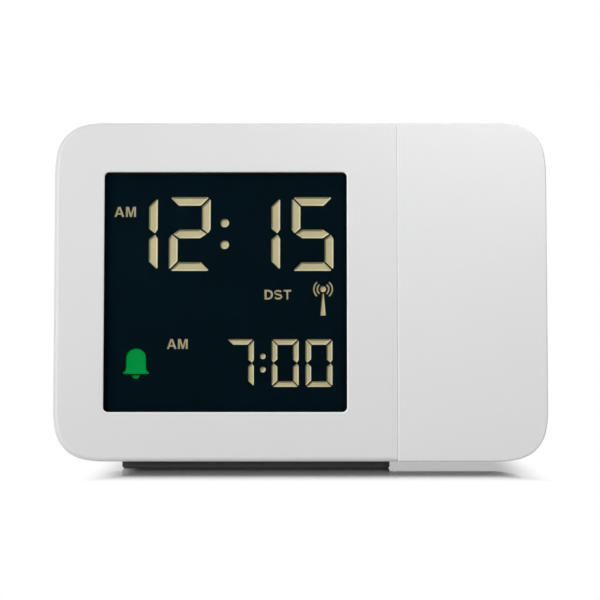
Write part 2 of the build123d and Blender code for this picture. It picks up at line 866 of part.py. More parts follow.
spring_length = spring_room - contact_thickness * 2
with BuildPart() as battery_springs:
    for cell_w, (end_x, side) in zip(cell_rows, cell_ends):
        foot_of_spring = Plane(
            origin=back_plane.from_local_coords(
                (battery_x - side * (pocket_length / 2 - contact_thickness), cell_w, cell_t)
            ),
            x_dir=(side, 0, 0),
            z_dir=(0, 1, 0),
        )
        with BuildSketch(foot_of_spring):
            with BuildLine():
                Polyline(
                    (0, spring_radius - spring_wire_radius),
                    (0, spring_radius + spring_wire_radius),
                    (spring_length, spring_radius / 2 + spring_wire_radius),
                    (spring_length, spring_radius / 2 - spring_wire_radius),
                    close=True,
                )
            make_face()
        revolve(axis=Axis(foot_of_spring.origin, (1, 0, 0)))
battery_springs.part.label = "battery_springs"

with BuildPart() as battery_door:
    with BuildSketch(back_plane):
        with Locations((battery_x, (hinge_w + door_low + door_height) / 2)):
            Rectangle(door_width, door_low + door_height - hinge_w)
    extrude(amount=door_thickness)
    door_edge_plane = Plane(
        origin=back_plane.from_local_coords((battery_x - door_width / 2, hinge_w, hinge_t)),
        x_dir=(0, 1, 0),
        z_dir=(1, 0, 0),
    )
    with BuildSketch(door_edge_plane):
        Circle(door_thickness / 2)
    extrude(amount=door_width)
    pin_reach = door_pin_length + door_gap - fit_gap
    with BuildSketch(door_edge_plane.offset(-pin_reach)):
        Circle(door_pin_radius)
    extrude(amount=door_width + 2 * pin_reach)
    # Latch tongue and finger scallop
    with BuildSketch(back_plane.offset(door_thickness)):
        with Locations((battery_x, latch_w)):
            Rectangle(latch_width, latch_thickness)
    extrude(amount=latch_depth)
    with BuildSketch(back_plane):
        with Locations((battery_x, door_low + door_height)):
            Circle(latch_width / 2)
    extrude(amount=door_thickness / 2, mode=Mode.SUBTRACT)
battery_door.part.label = "battery_door"

# ---------------------------------------------------------------- controls on the back

with BuildPart() as control_board:
    with BuildSketch(back_plane.offset(control_board_t)):
        with Locations((control_board_x, control_board_w)):
            Rectangle(control_board_width, control_board_height)
        with Locations(*control_screw_places):
            Circle(small_screw_radius + fit_gap, mode=Mode.SUBTRACT)
    extrude(amount=control_board_thickness)
control_board.part.label = "control_board"

with BuildPart() as control_board_screws:
    add(
        screw_set(
            back_plane.offset(control_board_t + control_board_thickness),
            control_screw_places,
            small_screw_radius,
            small_screw_length,
            small_head_radius,
            small_head_height,
            1,
        )
    )
control_board_screws.part.label = "control_board_screws"

tact_t = control_board_t - tact_height
plunger_end = tact_t + plunger_engagement
with BuildPart() as tact_switches:
    with BuildSketch(back_plane.offset(tact_t)):
        with Locations((time_button_x, button_w), (alarm_button_x, button_w)):
            Rectangle(tact_size, tact_size)
    extrude(amount=tact_height)
    with BuildSketch(back_plane.offset(tact_t)):
        with Locations((time_button_x, button_w), (alarm_button_x, button_w)):
            Circle(plunger_radius + fit_gap)
    extrude(amount=plunger_engagement + button_travel + fit_gap, mode=Mode.SUBTRACT)
tact_switches.part.label = "tact_switches"


def push_button(x):
    """A round push button: domed cap, flange behind the wall and plunger into its switch."""
    with BuildPart() as button:
        with BuildSketch(back_plane.offset(-button_proud)):
            with Locations((x, button_w)):
                Circle(button_radius)
        cap = extrude(amount=button_proud + wall + run_gap)
        cap_top = cap.faces().sort_by(Axis((0, 0, 0), (0, cos(rake), sin(rake))))[-1]
        chamfer(cap_top.edges(), button_round)
        with BuildSketch(back_plane.offset(wall + fit_gap)):
            with Locations((x, button_w)):
                Circle(button_radius + button_flange)
        extrude(amount=button_flange)
        with BuildSketch(back_plane.offset(wall + fit_gap)):
            with Locations((x, button_w)):
                Circle(plunger_radius)
        extrude(amount=plunger_end - wall - fit_gap)
    return button.part


with BuildPart() as time_button:
    add(push_button(time_button_x))
time_button.part.label = "time_button"

with BuildPart() as alarm_button:
    add(push_button(alarm_button_x))
alarm_button.part.label = "alarm_button"

slide_switch_t = control_board_t - slide_switch_height
slide_stem_end = slide_switch_t + plunger_engagement
with BuildPart() as slide_switches:
    with BuildSketch(back_plane.offset(slide_switch_t)):
        with Locations((alarm_slider_x, slider_w), (projection_slider_x, slider_w)):
            Rectangle(slide_switch_length, slide_switch_width)
    extrude(amount=slide_switch_height)
    with BuildSketch(back_plane.offset(slide_switch_t)):
        with Locations((alarm_slider_x, slider_w), (projection_slider_x, slider_w)):
            Rectangle(slide_stem_length + slider_travel + 2 * run_gap, slide_stem_width + 2 * fit_gap)
    extrude(amount=plunger_engagement + run_gap, mode=Mode.SUBTRACT)
slide_switches.part.label = "slide_switches"


def slider_knob(x):
    """A slider knob at the low end of its slot, with a flange behind the wall and a stem."""
    with BuildPart() as slider:
        knob_x = x - slider_travel / 2
        with BuildSketch(back_plane.offset(-slider_proud)):
            with Locations((knob_x, slider_w)):
                Rectangle(slider_length, slider_height)
        knob = extrude(amount=slider_proud + wall + fit_gap)
        chamfer(
            knob.faces().sort_by(Axis((0, 0, 0), (0, cos(rake), sin(rake))))[-1].edges(),
            slider_proud / 4,
        )
        with BuildSketch(back_plane.offset(wall + fit_gap)):
            with Locations((knob_x, slider_w)):
                Rectangle(slider_length + 2 * slider_flange, slider_height + 2 * slider_flange + run_gap)
        extrude(amount=slider_flange)
        with BuildSketch(back_plane.offset(wall + fit_gap)):
            with Locations((knob_x, slider_w)):
                Rectangle(slide_stem_length, slide_stem_width)
        extrude(amount=slide_stem_end - wall - fit_gap)
    return slider.part


with BuildPart() as alarm_slider:
    add(slider_knob(alarm_slider_x))
alarm_slider.part.label = "alarm_slider"

with BuildPart() as projection_slider:
    add(slider_knob(projection_slider_x))
projection_slider.part.label = "projection_slider"

encoder_t = control_board_t - encoder_height
with BuildPart() as dial_encoder:
    with BuildSketch(back_plane.offset(encoder_t)):
        with Locations((dial_x, dial_w)):
            Rectangle(encoder_size, encoder_size)
    extrude(amount=encoder_height)
    with BuildSketch(back_plane.offset(encoder_t)):
        with Locations((dial_x, dial_w)):
            Circle(spindle_radius + fit_gap)
    extrude(amount=plunger_engagement + run_gap, mode=Mode.SUBTRACT)
dial_encoder.part.label = "dial_encoder"

with BuildPart() as set_dial:
    with BuildSketch(back_plane.offset(-dial_proud)):
        with Locations((dial_x, dial_w)):
            Circle(dial_radius)
            with PolarLocations(dial_radius, dial_grips):
                RegularPolygon(grip_depth, 4, mode=Mode.SUBTRACT)
    extrude(amount=dial_thickness)
    with BuildSketch(back_plane.offset(-dial_proud)):
        with Locations((dial_x, dial_w)):
            Circle(dial_hollow_radius)
    extrude(amount=dial_gap, mode=Mode.SUBTRACT)
    with BuildSketch(back_plane):
        with Locations((dial_x, dial_w)):
            Circle(spindle_radius)
    extrude(amount=encoder_t + plunger_engagement)
set_dial.part.label = "set_dial"

# ---------------------------------------------------------------- snooze bar and its switch

snooze_leg_end = snooze_switch_top - plunger_engagement
snooze_switch_depth = snooze_travel + plunger_engagement + fit_gap
with BuildPart() as snooze_switch:
    with BuildSketch(Plane.XY.offset(snooze_switch_top)):
        with Locations((window_x, snooze_switch_y)):
            Rectangle(tact_size, tact_height)
    extrude(amount=-tact_size)
    with BuildSketch(Plane.XY.offset(snooze_switch_top)):
        with Locations((window_x, snooze_switch_y)):
            Circle(plunger_radius - run_gap)
    extrude(amount=-snooze_switch_depth, mode=Mode.SUBTRACT)
snooze_switch.part.label = "snooze_switch"

with BuildPart() as snooze_bar:
    with BuildSketch(Plane.XY.offset(top_z)):
        with Locations((window_x, snooze_y)):
            RectangleRounded(snooze_length, snooze_depth, window_corner)
    extrude(amount=-snooze_thickness)
    fillet(snooze_bar.faces().sort_by(Axis.Z)[-1].edges(), run_gap)
    with BuildSketch(Plane.XY.offset(top_z - wall - fit_gap)):
        with Locations((window_x, snooze_y)):
            Rectangle(snooze_length + 2 * snooze_flange, snooze_depth + 2 * snooze_flange)
    extrude(amount=-snooze_flange)
    with BuildSketch(Plane.XY.offset(top_z - wall - fit_gap)):
        with Locations((window_x, snooze_switch_y)):
            Circle(plunger_radius - run_gap - fit_gap)
    extrude(amount=snooze_leg_end - (top_z - wall - fit_gap))
snooze_bar.part.label = "snooze_bar"

# ---------------------------------------------------------------- speaker, inlet and ribbon

with BuildPart() as speaker:
    with BuildSketch(back_plane.offset(wall + seat_gap)):
        with Locations((speaker_x, speaker_w)):
            Circle(speaker_radius)
    extrude(amount=speaker_basket)
    with BuildSketch(back_plane.offset(wall + seat_gap + speaker_basket)):
        with Locations((speaker_x, speaker_w)):
            Circle(speaker_magnet_radius)
    extrude(amount=speaker_thickness - speaker_basket)
speaker.part.label = "speaker"

with BuildPart() as dc_jack:
    with BuildSketch(back_plane.offset(wall + seat_gap)):
        with Locations((jack_x, jack_w)):
            Rectangle(jack_width, jack_height)
    extrude(amount=jack_length)
    with BuildSketch(back_plane.offset(run_gap)):
        with Locations((jack_x, jack_w)):
            Circle(jack_nose_radius)
    extrude(amount=wall)
    with BuildSketch(back_plane.offset(run_gap)):
        with Locations((jack_x, jack_w)):
            Circle(jack_bore_radius)
    extrude(amount=jack_length - wall, mode=Mode.SUBTRACT)
    with BuildSketch(back_plane.offset(wall)):
        with Locations((jack_x, jack_w)):
            Circle(jack_pin_radius)
    extrude(amount=jack_length - wall)
dc_jack.part.label = "dc_jack"

# ---------------------------------------------------------------- radio receiver

with BuildPart() as antenna_rod:
    with BuildSketch(Plane.YZ.offset(rod_x - rod_length / 2)):
        with Locations((rod_y, rod_z)):
            Circle(rod_radius)
    extrude(amount=rod_length)
antenna_rod.part.label = "antenna_rod"

with BuildPart() as antenna_coil:
    with BuildSketch(Plane.YZ.offset(rod_x - coil_length / 2)):
        with Locations((rod_y, rod_z)):
            Circle(coil_radius)
            Circle(rod_radius + seat_gap, mode=Mode.SUBTRACT)
    extrude(amount=coil_length)
antenna_coil.part.label = "antenna_coil"

radio_board_z = foot_height + wall + radio_rib_height + seat_gap
with BuildPart() as radio_board:
    with BuildSketch(Plane.XY.offset(radio_board_z)):
        with Locations((radio_board_x, radio_board_y)):
            Rectangle(radio_board_length, radio_board_width)
    extrude(amount=control_board_thickness)
    with BuildSketch(Plane.XY.offset(radio_board_z + control_board_thickness)):
        with Locations((radio_board_x, radio_board_y)):
            Rectangle(radio_board_length / 3, radio_board_width / 3)
    extrude(amount=control_board_thickness)
radio_board.part.label = "radio_board"

# ---------------------------------------------------------------- swivel bearing and shaft

with BuildPart() as swivel_bush:
    with BuildSketch(swivel_plane):
        Circle(bush_outer_radius - seat_gap)
    extrude(amount=-(bearing_wall + bush_flange_thickness))
    with BuildSketch(swivel_plane.offset(-(bearing_wall + seat_gap))):
        Circle(bush_flange_radius)
    extrude(amount=-(bush_flange_thickness - seat_gap))
    with BuildSketch(swivel_plane):
        Circle(shaft_radius + shaft_clearance)
    extrude(amount=-(bearing_wall + bush_flange_thickness), mode=Mode.SUBTRACT)
swivel_bush.part.label = "swivel_bush"

washer_x = bearing_wall + bush_flange_thickness + fit_gap
ring_x = washer_x + spring_washer_thickness + seat_gap
shaft_tip = ring_x + ring_thickness + shaft_end
shaft_screw_turns = [
    radians(shaft_screw_turn + 360 / shaft_screw_count * number) for number in range(shaft_screw_count)
]
shaft_screw_places = [
    (shaft_screw_circle * cos(turn), shaft_screw_circle * sin(turn)) for turn in shaft_screw_turns
]
flange_face = seam_gap + plate_thickness + seat_gap

with BuildPart() as swivel_shaft:
    with BuildSketch(swivel_plane.offset(-shaft_tip)):
        Circle(shaft_radius)
    extrude(amount=shaft_tip + flange_face)
    with BuildSketch(swivel_plane.offset(flange_face)):
        Circle(shaft_flange_radius)
        with Locations(*shaft_screw_places):
            Circle(small_screw_radius + fit_gap, mode=Mode.SUBTRACT)
    extrude(amount=shaft_flange_thickness)
    with BuildSketch(swivel_plane.offset(-(ring_x - seat_gap))):
        Circle(shaft_radius)
        Circle(shaft_radius - ring_groove, mode=Mode.SUBTRACT)
    extrude(amount=-(ring_thickness + 2 * seat_gap), mode=Mode.SUBTRACT)
    with BuildSketch(swivel_plane.offset(-shaft_tip)):
        Circle(shaft_bore_radius)
    extrude(amount=shaft_tip + flange_face + shaft_flange_thickness, mode=Mode.SUBTRACT)
swivel_shaft.part.label = "swivel_shaft"

with BuildPart() as spring_washer:
    with BuildSketch(swivel_plane.offset(-washer_x)):
        Circle(spring_washer_radius)
        Circle(shaft_radius + fit_gap, mode=Mode.SUBTRACT)
    extrude(amount=-spring_washer_thickness)
spring_washer.part.label = "spring_washer"

with BuildPart() as retaining_ring:
    with BuildSketch(swivel_plane.offset(-ring_x)):
        Circle(ring_radius)
        Circle(shaft_radius - ring_groove + seat_gap, mode=Mode.SUBTRACT)
        with Locations((0, -ring_radius)):
            Rectangle(ring_mouth, 2 * ring_radius, mode=Mode.SUBTRACT)
    extrude(amount=-ring_thickness)
retaining_ring.part.label = "retaining_ring"

# ---------------------------------------------------------------- projector section

plate_plane = Plane(origin=(module_x, 0, 0), x_dir=(0, 1, 0), z_dir=(1, 0, 0))
optics_x = module_x + projector_width / 2
wheel_front = face_y(focus_z + focus_thickness, wall) + run_gap
wheel_back = back_y(focus_z + focus_thickness / 2) + focus_proud
focus_radius = (wheel_back - wheel_front) / 2
optics_y = (wheel_back + wheel_front) / 2
plate_inset = plate_rebate + fit_gap
plate_screw_places = [
    (edge_y(z, plate_screw_inset), z)
    for edge_y in (face_y, back_y)
    for z in (foot_height + plate_screw_inset, top_z - plate_screw_inset)
]
lamp_board_z = shelf_z + shelf_thickness
optics_low = lamp_board_z + lamp_board_thickness
optics_top = focus_z - focus_gap - fit_gap
optics_screw_places = [
    (optics_x + side * optics_screw_pitch / 2, optics_y - side * optics_screw_offset) for side in (-1, 1)
]
harness_x = module_x + plate_thickness + shaft_flange_thickness + harness_clearance
wheel_reach = back_y(focus_z + focus_thickness / 2, wall) - optics_y
wheel_slot_width = 2 * sqrt((focus_radius + focus_gap) ** 2 - wheel_reach**2)
lens_z = barrel_top - lens_edge / 2 - lens_crown - lens_relief
cover_low = top_z - cover_sink - cover_thickness

module_outer = section_form(module_x, right_x, front_radius=module_edge_radius)
module_cavity = section_form(module_x, right_x - wall, inset=wall, front_inset=wall)


def module_slab(low, high, left):
    """Filled slice of the projector section between two heights, from one X to its outer wall."""
    with BuildPart() as slab:
        add(module_outer)
        split(bisect_by=Plane.XY.offset(low), keep=Keep.TOP)
        split(bisect_by=Plane.XY.offset(high), keep=Keep.BOTTOM)
        split(bisect_by=Plane.YZ.offset(left), keep=Keep.TOP)
    return slab.part


with BuildPart() as plate_rebate_form:
    add(section_form(module_x, right_x - plate_rebate, inset=plate_rebate, front_inset=plate_rebate))
    split(bisect_by=plate_plane.offset(plate_thickness + fit_gap), keep=Keep.BOTTOM)

with BuildPart() as plate_posts:
    with BuildSketch(plate_plane.offset(plate_thickness + fit_gap)):
        with Locations(*plate_screw_places):
            Circle(plate_post_radius)
        for (y, z), side in zip(plate_screw_places, (-1, -1, 1, 1)):
            with Locations((y + side * plate_post_radius, z)):
                Rectangle(2 * plate_post_radius, 2 * plate_post_radius)
    extrude(amount=plate_post_length)
    add(module_outer, mode=Mode.INTERSECT)

with BuildPart() as projector_shell:
    add(module_outer)
    rim = projector_shell.faces().sort_by(Axis.X)[0]
    chamfer(rim.edges(), module_edge)
    add(module_cavity, mode=Mode.SUBTRACT)
    add(plate_rebate_form.part, mode=Mode.SUBTRACT)
    add(plate_posts.part)
    # Shelf under the lamp board and the two ribs that hold the optics tube
    add(module_slab(shelf_z, lamp_board_z, optics_x - lamp_board_length / 2 - fit_gap))
    add(module_slab(focus_z - focus_gap - rib_thickness, focus_z - focus_gap, optics_x - tube_radius / 2))
    add(
        module_slab(
            focus_z + focus_thickness + focus_gap,
            focus_z + focus_thickness + focus_gap + rib_thickness,
            optics_x - tube_radius / 2,
        )
    )
    with BuildSketch(Plane.XY.offset(focus_z - focus_gap - rib_thickness)):
        with Locations((optics_x, optics_y)):
            Circle(tube_radius + fit_gap)
        with Locations((optics_x - tube_radius, optics_y)):
            Rectangle(2 * tube_radius, 2 * (tube_radius + fit_gap))
    extrude(amount=rib_thickness, mode=Mode.SUBTRACT)
    with BuildSketch(Plane.XY.offset(focus_z + focus_thickness + focus_gap)):
        with Locations((optics_x, optics_y)):
            Circle(barrel_radius + run_gap)
        with Locations((optics_x - barrel_radius, optics_y)):
            Rectangle(2 * barrel_radius, 2 * (barrel_radius + run_gap))
    extrude(amount=rib_thickness, mode=Mode.SUBTRACT)
    with BuildSketch(Plane.XY.offset(shelf_z)):
        with Locations(*optics_screw_places):
            Circle(small_screw_radius)
    extrude(amount=shelf_thickness, mode=Mode.SUBTRACT)
    # Slot for the focus wheel, hole for the lens bezel and screw holes of the side plate
    with BuildSketch(Plane.XY.offset(focus_z - focus_gap)):
        with Locations((optics_x, optics_y + overall_depth / 2)):
            Rectangle(wheel_slot_width, overall_depth)
    extrude(amount=focus_thickness + 2 * focus_gap, mode=Mode.SUBTRACT)
    with BuildSketch(Plane.XY.offset(top_z + wall)):
        with Locations((optics_x, optics_y)):
            Circle(lens_bezel_radius + fit_gap)
    extrude(amount=-(top_z + wall - lens_bezel_low), mode=Mode.SUBTRACT)
    with BuildSketch(plate_plane.offset(plate_thickness)):
        with Locations(*plate_screw_places):
            Circle(small_screw_radius)
    extrude(amount=small_screw_length, mode=Mode.SUBTRACT)
projector_shell.part.label = "projector_shell"

with BuildPart() as projector_side_plate:
    add(section_form(module_x, right_x - plate_inset, inset=plate_inset, front_inset=plate_inset))
    split(bisect_by=plate_plane.offset(plate_thickness), keep=Keep.BOTTOM)
    with BuildSketch(plate_plane):
        with Locations((pivot_y, pivot_z)):
            Circle(shaft_radius + fit_gap)
            with Locations(*shaft_screw_places):
                Circle(small_screw_radius)
        with Locations(*plate_screw_places):
            Circle(small_screw_radius + fit_gap)
    extrude(amount=plate_thickness, mode=Mode.SUBTRACT)
    with BuildSketch(plate_plane):
        with Locations(*plate_screw_places):
            Circle(small_head_radius + fit_gap)
    extrude(amount=small_head_height, mode=Mode.SUBTRACT)
    with BuildSketch(plate_plane):
        with Locations((pivot_y, pivot_z + stop_radius)):
            Circle(stop_pin_radius)
    extrude(amount=-(seam_gap + stop_depth - run_gap))
projector_side_plate.part.label = "projector_side_plate"

with BuildPart() as plate_screws:
    add(
        screw_set(
            plate_plane.offset(small_head_height),
            plate_screw_places,
            small_screw_radius,
            small_screw_length,
            small_head_radius,
            small_head_height,
            -1,
        )
    )
plate_screws.part.label = "plate_screws"

with BuildPart() as shaft_screws:
    add(
        screw_set(
            swivel_plane.offset(flange_face + shaft_flange_thickness),
            shaft_screw_places,
            small_screw_radius,
            shaft_flange_thickness + plate_thickness - run_gap,
            small_head_radius,
            small_head_height,
            1,
        )
    )
shaft_screws.part.label = "shaft_screws"

# ---------------------------------------------------------------- projector optics

with BuildPart() as lamp_board:
    with BuildSketch(Plane.XY.offset(lamp_board_z)):
        with Locations((optics_x, optics_y)):
            Rectangle(lamp_board_length, lamp_board_width)
        with Locations(*optics_screw_places):
            Circle(small_screw_radius + fit_gap, mode=Mode.SUBTRACT)
    extrude(amount=lamp_board_thickness)
lamp_board.part.label = "lamp_board"

with BuildPart() as lamp_led:
    with BuildSketch(Plane.XY.offset(optics_low)):
        with Locations((optics_x, optics_y)):
            Rectangle(lamp_size, lamp_size)
    extrude(amount=lamp_height)
    with BuildSketch(Plane.XY.offset(optics_low + lamp_height)):
        with Locations((optics_x, optics_y)):
            Circle(lamp_dome_radius)
    dome = extrude(amount=lamp_dome_radius)
    chamfer(dome.faces().sort_by(Axis.Z)[-1].edges(), lamp_dome_radius / 2)
lamp_led.part.label = "lamp_led"


def convex_lens(z, radius):
    """A lens on the optical axis, flat below and domed above, with its rim centred at height z."""
    with BuildPart() as lens:
        swell = (radius**2 + lens_crown**2) / (2 * lens_crown)
        reach = degrees(asin(radius / swell))
        with BuildSketch(Plane(origin=(optics_x, optics_y, z), x_dir=(1, 0, 0), z_dir=(0, -1, 0))):
            with BuildLine():
                dome = CenterArc((0, lens_edge / 2 + lens_crown - swell), swell, 90 - reach, reach)
                Polyline(dome @ 1, (0, -lens_edge / 2), (radius, -lens_edge / 2), dome @ 0)
            make_face()
        revolve(axis=Axis((optics_x, optics_y, z), (0, 0, 1)))
    return lens.part


with BuildPart() as condenser_lens:
    add(convex_lens(condenser_z, condenser_radius))
condenser_lens.part.label = "condenser_lens"

with BuildPart() as projection_lcd:
    with BuildSketch(Plane.XY.offset(projection_lcd_z)):
        with Locations((optics_x, optics_y)):
            Rectangle(projection_lcd_size, projection_lcd_size)
    extrude(amount=projection_lcd_thickness)
projection_lcd.part.label = "projection_lcd"

condenser_step = condenser_z + lens_edge / 2 + lens_relief
with BuildPart() as optics_tube:
    with BuildSketch(Plane.XY.offset(optics_low)):
        with Locations((optics_x, optics_y)):
            Rectangle(optics_flange_length, optics_block)
        with Locations(*optics_screw_places):
            Circle(small_screw_radius + fit_gap, mode=Mode.SUBTRACT)
        with Locations((harness_x, pivot_y)):
            Circle(harness_radius + fit_gap, mode=Mode.SUBTRACT)
    extrude(amount=optics_flange_thickness)
    with BuildSketch(Plane.XY.offset(optics_low)):
        with Locations((optics_x, optics_y)):
            Rectangle(optics_block, optics_block)
    extrude(amount=optics_block_top - optics_low)
    with BuildSketch(Plane.XY.offset(optics_block_top)):
        with Locations((optics_x, optics_y)):
            Circle(tube_radius)
    extrude(amount=optics_top - optics_block_top)
    with BuildSketch(Plane.XY.offset(optics_low)):
        with Locations((optics_x, optics_y)):
            Circle(optics_bore_radius)
    extrude(amount=optics_top - optics_low, mode=Mode.SUBTRACT)
    with BuildSketch(Plane.XY.offset(optics_low)):
        with Locations((optics_x, optics_y)):
            Circle(condenser_radius + fit_gap)
    extrude(amount=condenser_step - optics_low, mode=Mode.SUBTRACT)
    with BuildSketch(Plane.XY.offset(optics_top)):
        with Locations((optics_x, optics_y)):
            Circle(barrel_radius + fit_gap)
    extrude(amount=-(optics_top - barrel_low + 2 * focus_gap + focus_lead / 2), mode=Mode.SUBTRACT)
    with BuildSketch(Plane.XY.offset(projection_lcd_z - seat_gap)):
        with Locations((optics_x - optics_block / 2, optics_y)):
            Rectangle(optics_block + projection_lcd_size + 2 * fit_gap, projection_lcd_size + 2 * fit_gap)
    extrude(amount=projection_lcd_thickness + 2 * seat_gap, mode=Mode.SUBTRACT)
optics_tube.part.label = "optics_tube"

with BuildPart() as optics_screws:
    add(
        screw_set(
            Plane.XY.offset(optics_low + optics_flange_thickness),
            optics_screw_places,
            small_screw_radius,
            small_screw_length,
            small_head_radius,
            small_head_height,
            1,
        )
    )
optics_screws.part.label = "optics_screws"

with BuildPart() as focus_wheel:
    with BuildSketch(Plane.XY.offset(focus_z)):
        with Locations((optics_x, optics_y)):
            Circle(focus_radius)
            Circle(barrel_radius + fit_gap, mode=Mode.SUBTRACT)
            with PolarLocations(focus_radius, focus_grips):
                RegularPolygon(grip_depth, 4, mode=Mode.SUBTRACT)
    extrude(amount=focus_thickness)
focus_wheel.part.label = "focus_wheel"

with BuildPart() as lens_barrel:
    with BuildSketch(Plane.XY.offset(barrel_low)):
        with Locations((optics_x, optics_y)):
            Circle(barrel_radius)
            Circle(barrel_bore_radius, mode=Mode.SUBTRACT)
    extrude(amount=barrel_top - barrel_low)
    with BuildSketch(Plane.XY.offset(lens_z - lens_edge / 2 - seat_gap)):
        with Locations((optics_x, optics_y)):
            Circle(lens_radius + seat_gap)
    extrude(amount=barrel_top - barrel_low, mode=Mode.SUBTRACT)
lens_barrel.part.label = "lens_barrel"

with BuildPart() as projection_lens:
    add(convex_lens(lens_z, lens_radius))
projection_lens.part.label = "projection_lens"

with BuildPart() as lens_bezel_flange_form:
    with BuildSketch(Plane.XY.offset(top_z - wall - seat_gap)):
        with Locations((optics_x, optics_y)):
            Circle(lens_bezel_radius + lens_bezel_flange)
    extrude(amount=-lens_bezel_flange)
    add(
        section_form(
            module_x,
            right_x - wall - seat_gap,
            inset=wall + seat_gap,
            front_inset=wall + seat_gap,
        ),
        mode=Mode.INTERSECT,
    )

with BuildPart() as lens_bezel:
    with BuildSketch(Plane.XY.offset(lens_bezel_low)):
        with Locations((optics_x, optics_y)):
            Circle(lens_bezel_radius)
    extrude(amount=top_z - lens_bezel_low)
    add(module_outer, mode=Mode.INTERSECT)
    add(lens_bezel_flange_form.part)
    with BuildSketch(Plane.XY.offset(lens_bezel_low)):
        with Locations((optics_x, optics_y)):
            Circle(cover_radius - lens_ledge)
    extrude(amount=top_z - lens_bezel_low, mode=Mode.SUBTRACT)
    with BuildSketch(Plane.XY.offset(cover_low - seat_gap)):
        with Locations((optics_x, optics_y)):
            Circle(cover_radius + seat_gap)
    extrude(amount=top_z - cover_low + seat_gap, mode=Mode.SUBTRACT)
lens_bezel.part.label = "lens_bezel"

with BuildPart() as lens_cover:
    with BuildSketch(Plane.XY.offset(cover_low)):
        with Locations((optics_x, optics_y)):
            Circle(cover_radius)
    extrude(amount=cover_thickness)
lens_cover.part.label = "lens_cover"

# ---------------------------------------------------------------- wiring inside

harness_split_x = seam_x - shaft_tip - harness_slack
connector_x = seam_x - connector_seam_inset
ribbon_x = left_x + ribbon_inset

with BuildPart() as projector_harness:
    with BuildLine() as inner_route:
        FilletPolyline(
            (harness_split_x + seat_gap, pivot_y, pivot_z),
            (harness_x, pivot_y, pivot_z),
            (harness_x, pivot_y, optics_low + seat_gap),
            radius=harness_bend,
        )
    with BuildSketch(Plane(origin=inner_route.line @ 0, z_dir=inner_route.line % 0)):
        Circle(harness_radius)
    sweep()
projector_harness.part.label = "projector_harness"

connector_face_y = face_y(pivot_z, board_back + connector_height)
with BuildPart() as clock_harness:
    with BuildLine() as outer_route:
        FilletPolyline(
            (harness_split_x, pivot_y, pivot_z),
            (connector_x, pivot_y, pivot_z),
            (connector_x, connector_face_y + run_gap, pivot_z),
            radius=harness_bend,
        )
    with BuildSketch(Plane(origin=outer_route.line @ 0, z_dir=outer_route.line % 0)):
        Circle(harness_radius)
    sweep()
clock_harness.part.label = "clock_harness"

with BuildPart() as harness_connector:
    connector_v = (pivot_z - foot_height + board_back * sin(lean)) / cos(lean)
    with BuildSketch(front_plane.offset(-board_back)):
        with Locations((connector_x, connector_v)):
            Rectangle(connector_length, connector_width)
    extrude(amount=-connector_height)
harness_connector.part.label = "harness_connector"

with BuildPart() as board_ribbon:
    with BuildSketch(Plane.YZ.offset(ribbon_x)):
        with BuildLine():
            ribbon_start = face_y(ribbon_low, board_back) + fit_gap
            ribbon_end = back_y(ribbon_high, control_board_t + control_board_thickness) - fit_gap
            FilletPolyline(
                (ribbon_start, ribbon_low),
                ((ribbon_start + ribbon_end) / 2, ribbon_low),
                ((ribbon_start + ribbon_end) / 2, ribbon_high),
                (ribbon_end, ribbon_high),
                radius=ribbon_bend,
            )
        trace(line_width=ribbon_thickness)
    extrude(amount=ribbon_width)
board_ribbon.part.label = "board_ribbon"

# ---------------------------------------------------------------- one file for each piece

pieces = (
    front_bezel,
    display_window,
    lcd_glass,
    lcd_frame,
    light_guide,
    reflector_sheet,
    backlight_leds,
    zebra_strips,
    main_board,
    board_screws,
    main_chip,
    quartz_crystal,
    board_capacitors,
    rear_housing,
    housing_screws,
    rubber_foot,
    battery_cells,
    battery_contacts,
    battery_springs,
    battery_door,
    control_board,
    control_board_screws,
    tact_switches,
    time_button,
    alarm_button,
    slide_switches,
    alarm_slider,
    projection_slider,
    dial_encoder,
    set_dial,
    snooze_switch,
    snooze_bar,
    speaker,
    dc_jack,
    antenna_rod,
    antenna_coil,
    radio_board,
    swivel_bush,
    swivel_shaft,
    spring_washer,
    retaining_ring,
    projector_shell,
    projector_side_plate,
    plate_screws,
    shaft_screws,
    lamp_board,
    lamp_led,
    condenser_lens,
    projection_lcd,
    optics_tube,
    optics_screws,
    focus_wheel,
    lens_barrel,
    projection_lens,
    lens_bezel,
    lens_cover,
    projector_harness,
    clock_harness,
    harness_connector,
    board_ribbon,
)
for piece in pieces:
    export_step(piece.part, f"parts/{piece.part.label}.step")
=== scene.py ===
import math

import bmesh
import bpy
from mathutils import Matrix, Vector
from mathutils.geometry import tessellate_polygon


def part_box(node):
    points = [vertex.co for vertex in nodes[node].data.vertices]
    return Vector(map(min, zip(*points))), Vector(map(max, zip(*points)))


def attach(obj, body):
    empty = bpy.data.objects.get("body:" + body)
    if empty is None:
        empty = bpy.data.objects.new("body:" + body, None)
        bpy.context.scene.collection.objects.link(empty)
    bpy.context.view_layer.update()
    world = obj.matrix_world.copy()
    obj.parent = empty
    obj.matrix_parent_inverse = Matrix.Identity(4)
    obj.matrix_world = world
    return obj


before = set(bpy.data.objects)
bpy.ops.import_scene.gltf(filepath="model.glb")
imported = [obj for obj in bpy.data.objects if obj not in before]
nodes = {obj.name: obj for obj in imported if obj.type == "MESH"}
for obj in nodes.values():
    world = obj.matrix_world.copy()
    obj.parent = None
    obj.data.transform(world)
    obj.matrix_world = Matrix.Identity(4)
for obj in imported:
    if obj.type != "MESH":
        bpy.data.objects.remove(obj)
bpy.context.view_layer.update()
scene = bpy.context.scene
scene.view_settings.view_transform = "Standard"

# ---------------------------------------------------------------- the camera
# A long lens a metre away, level with the middle of the clock and square to it, so that the face,
# which leans back, narrows upwards only a little.

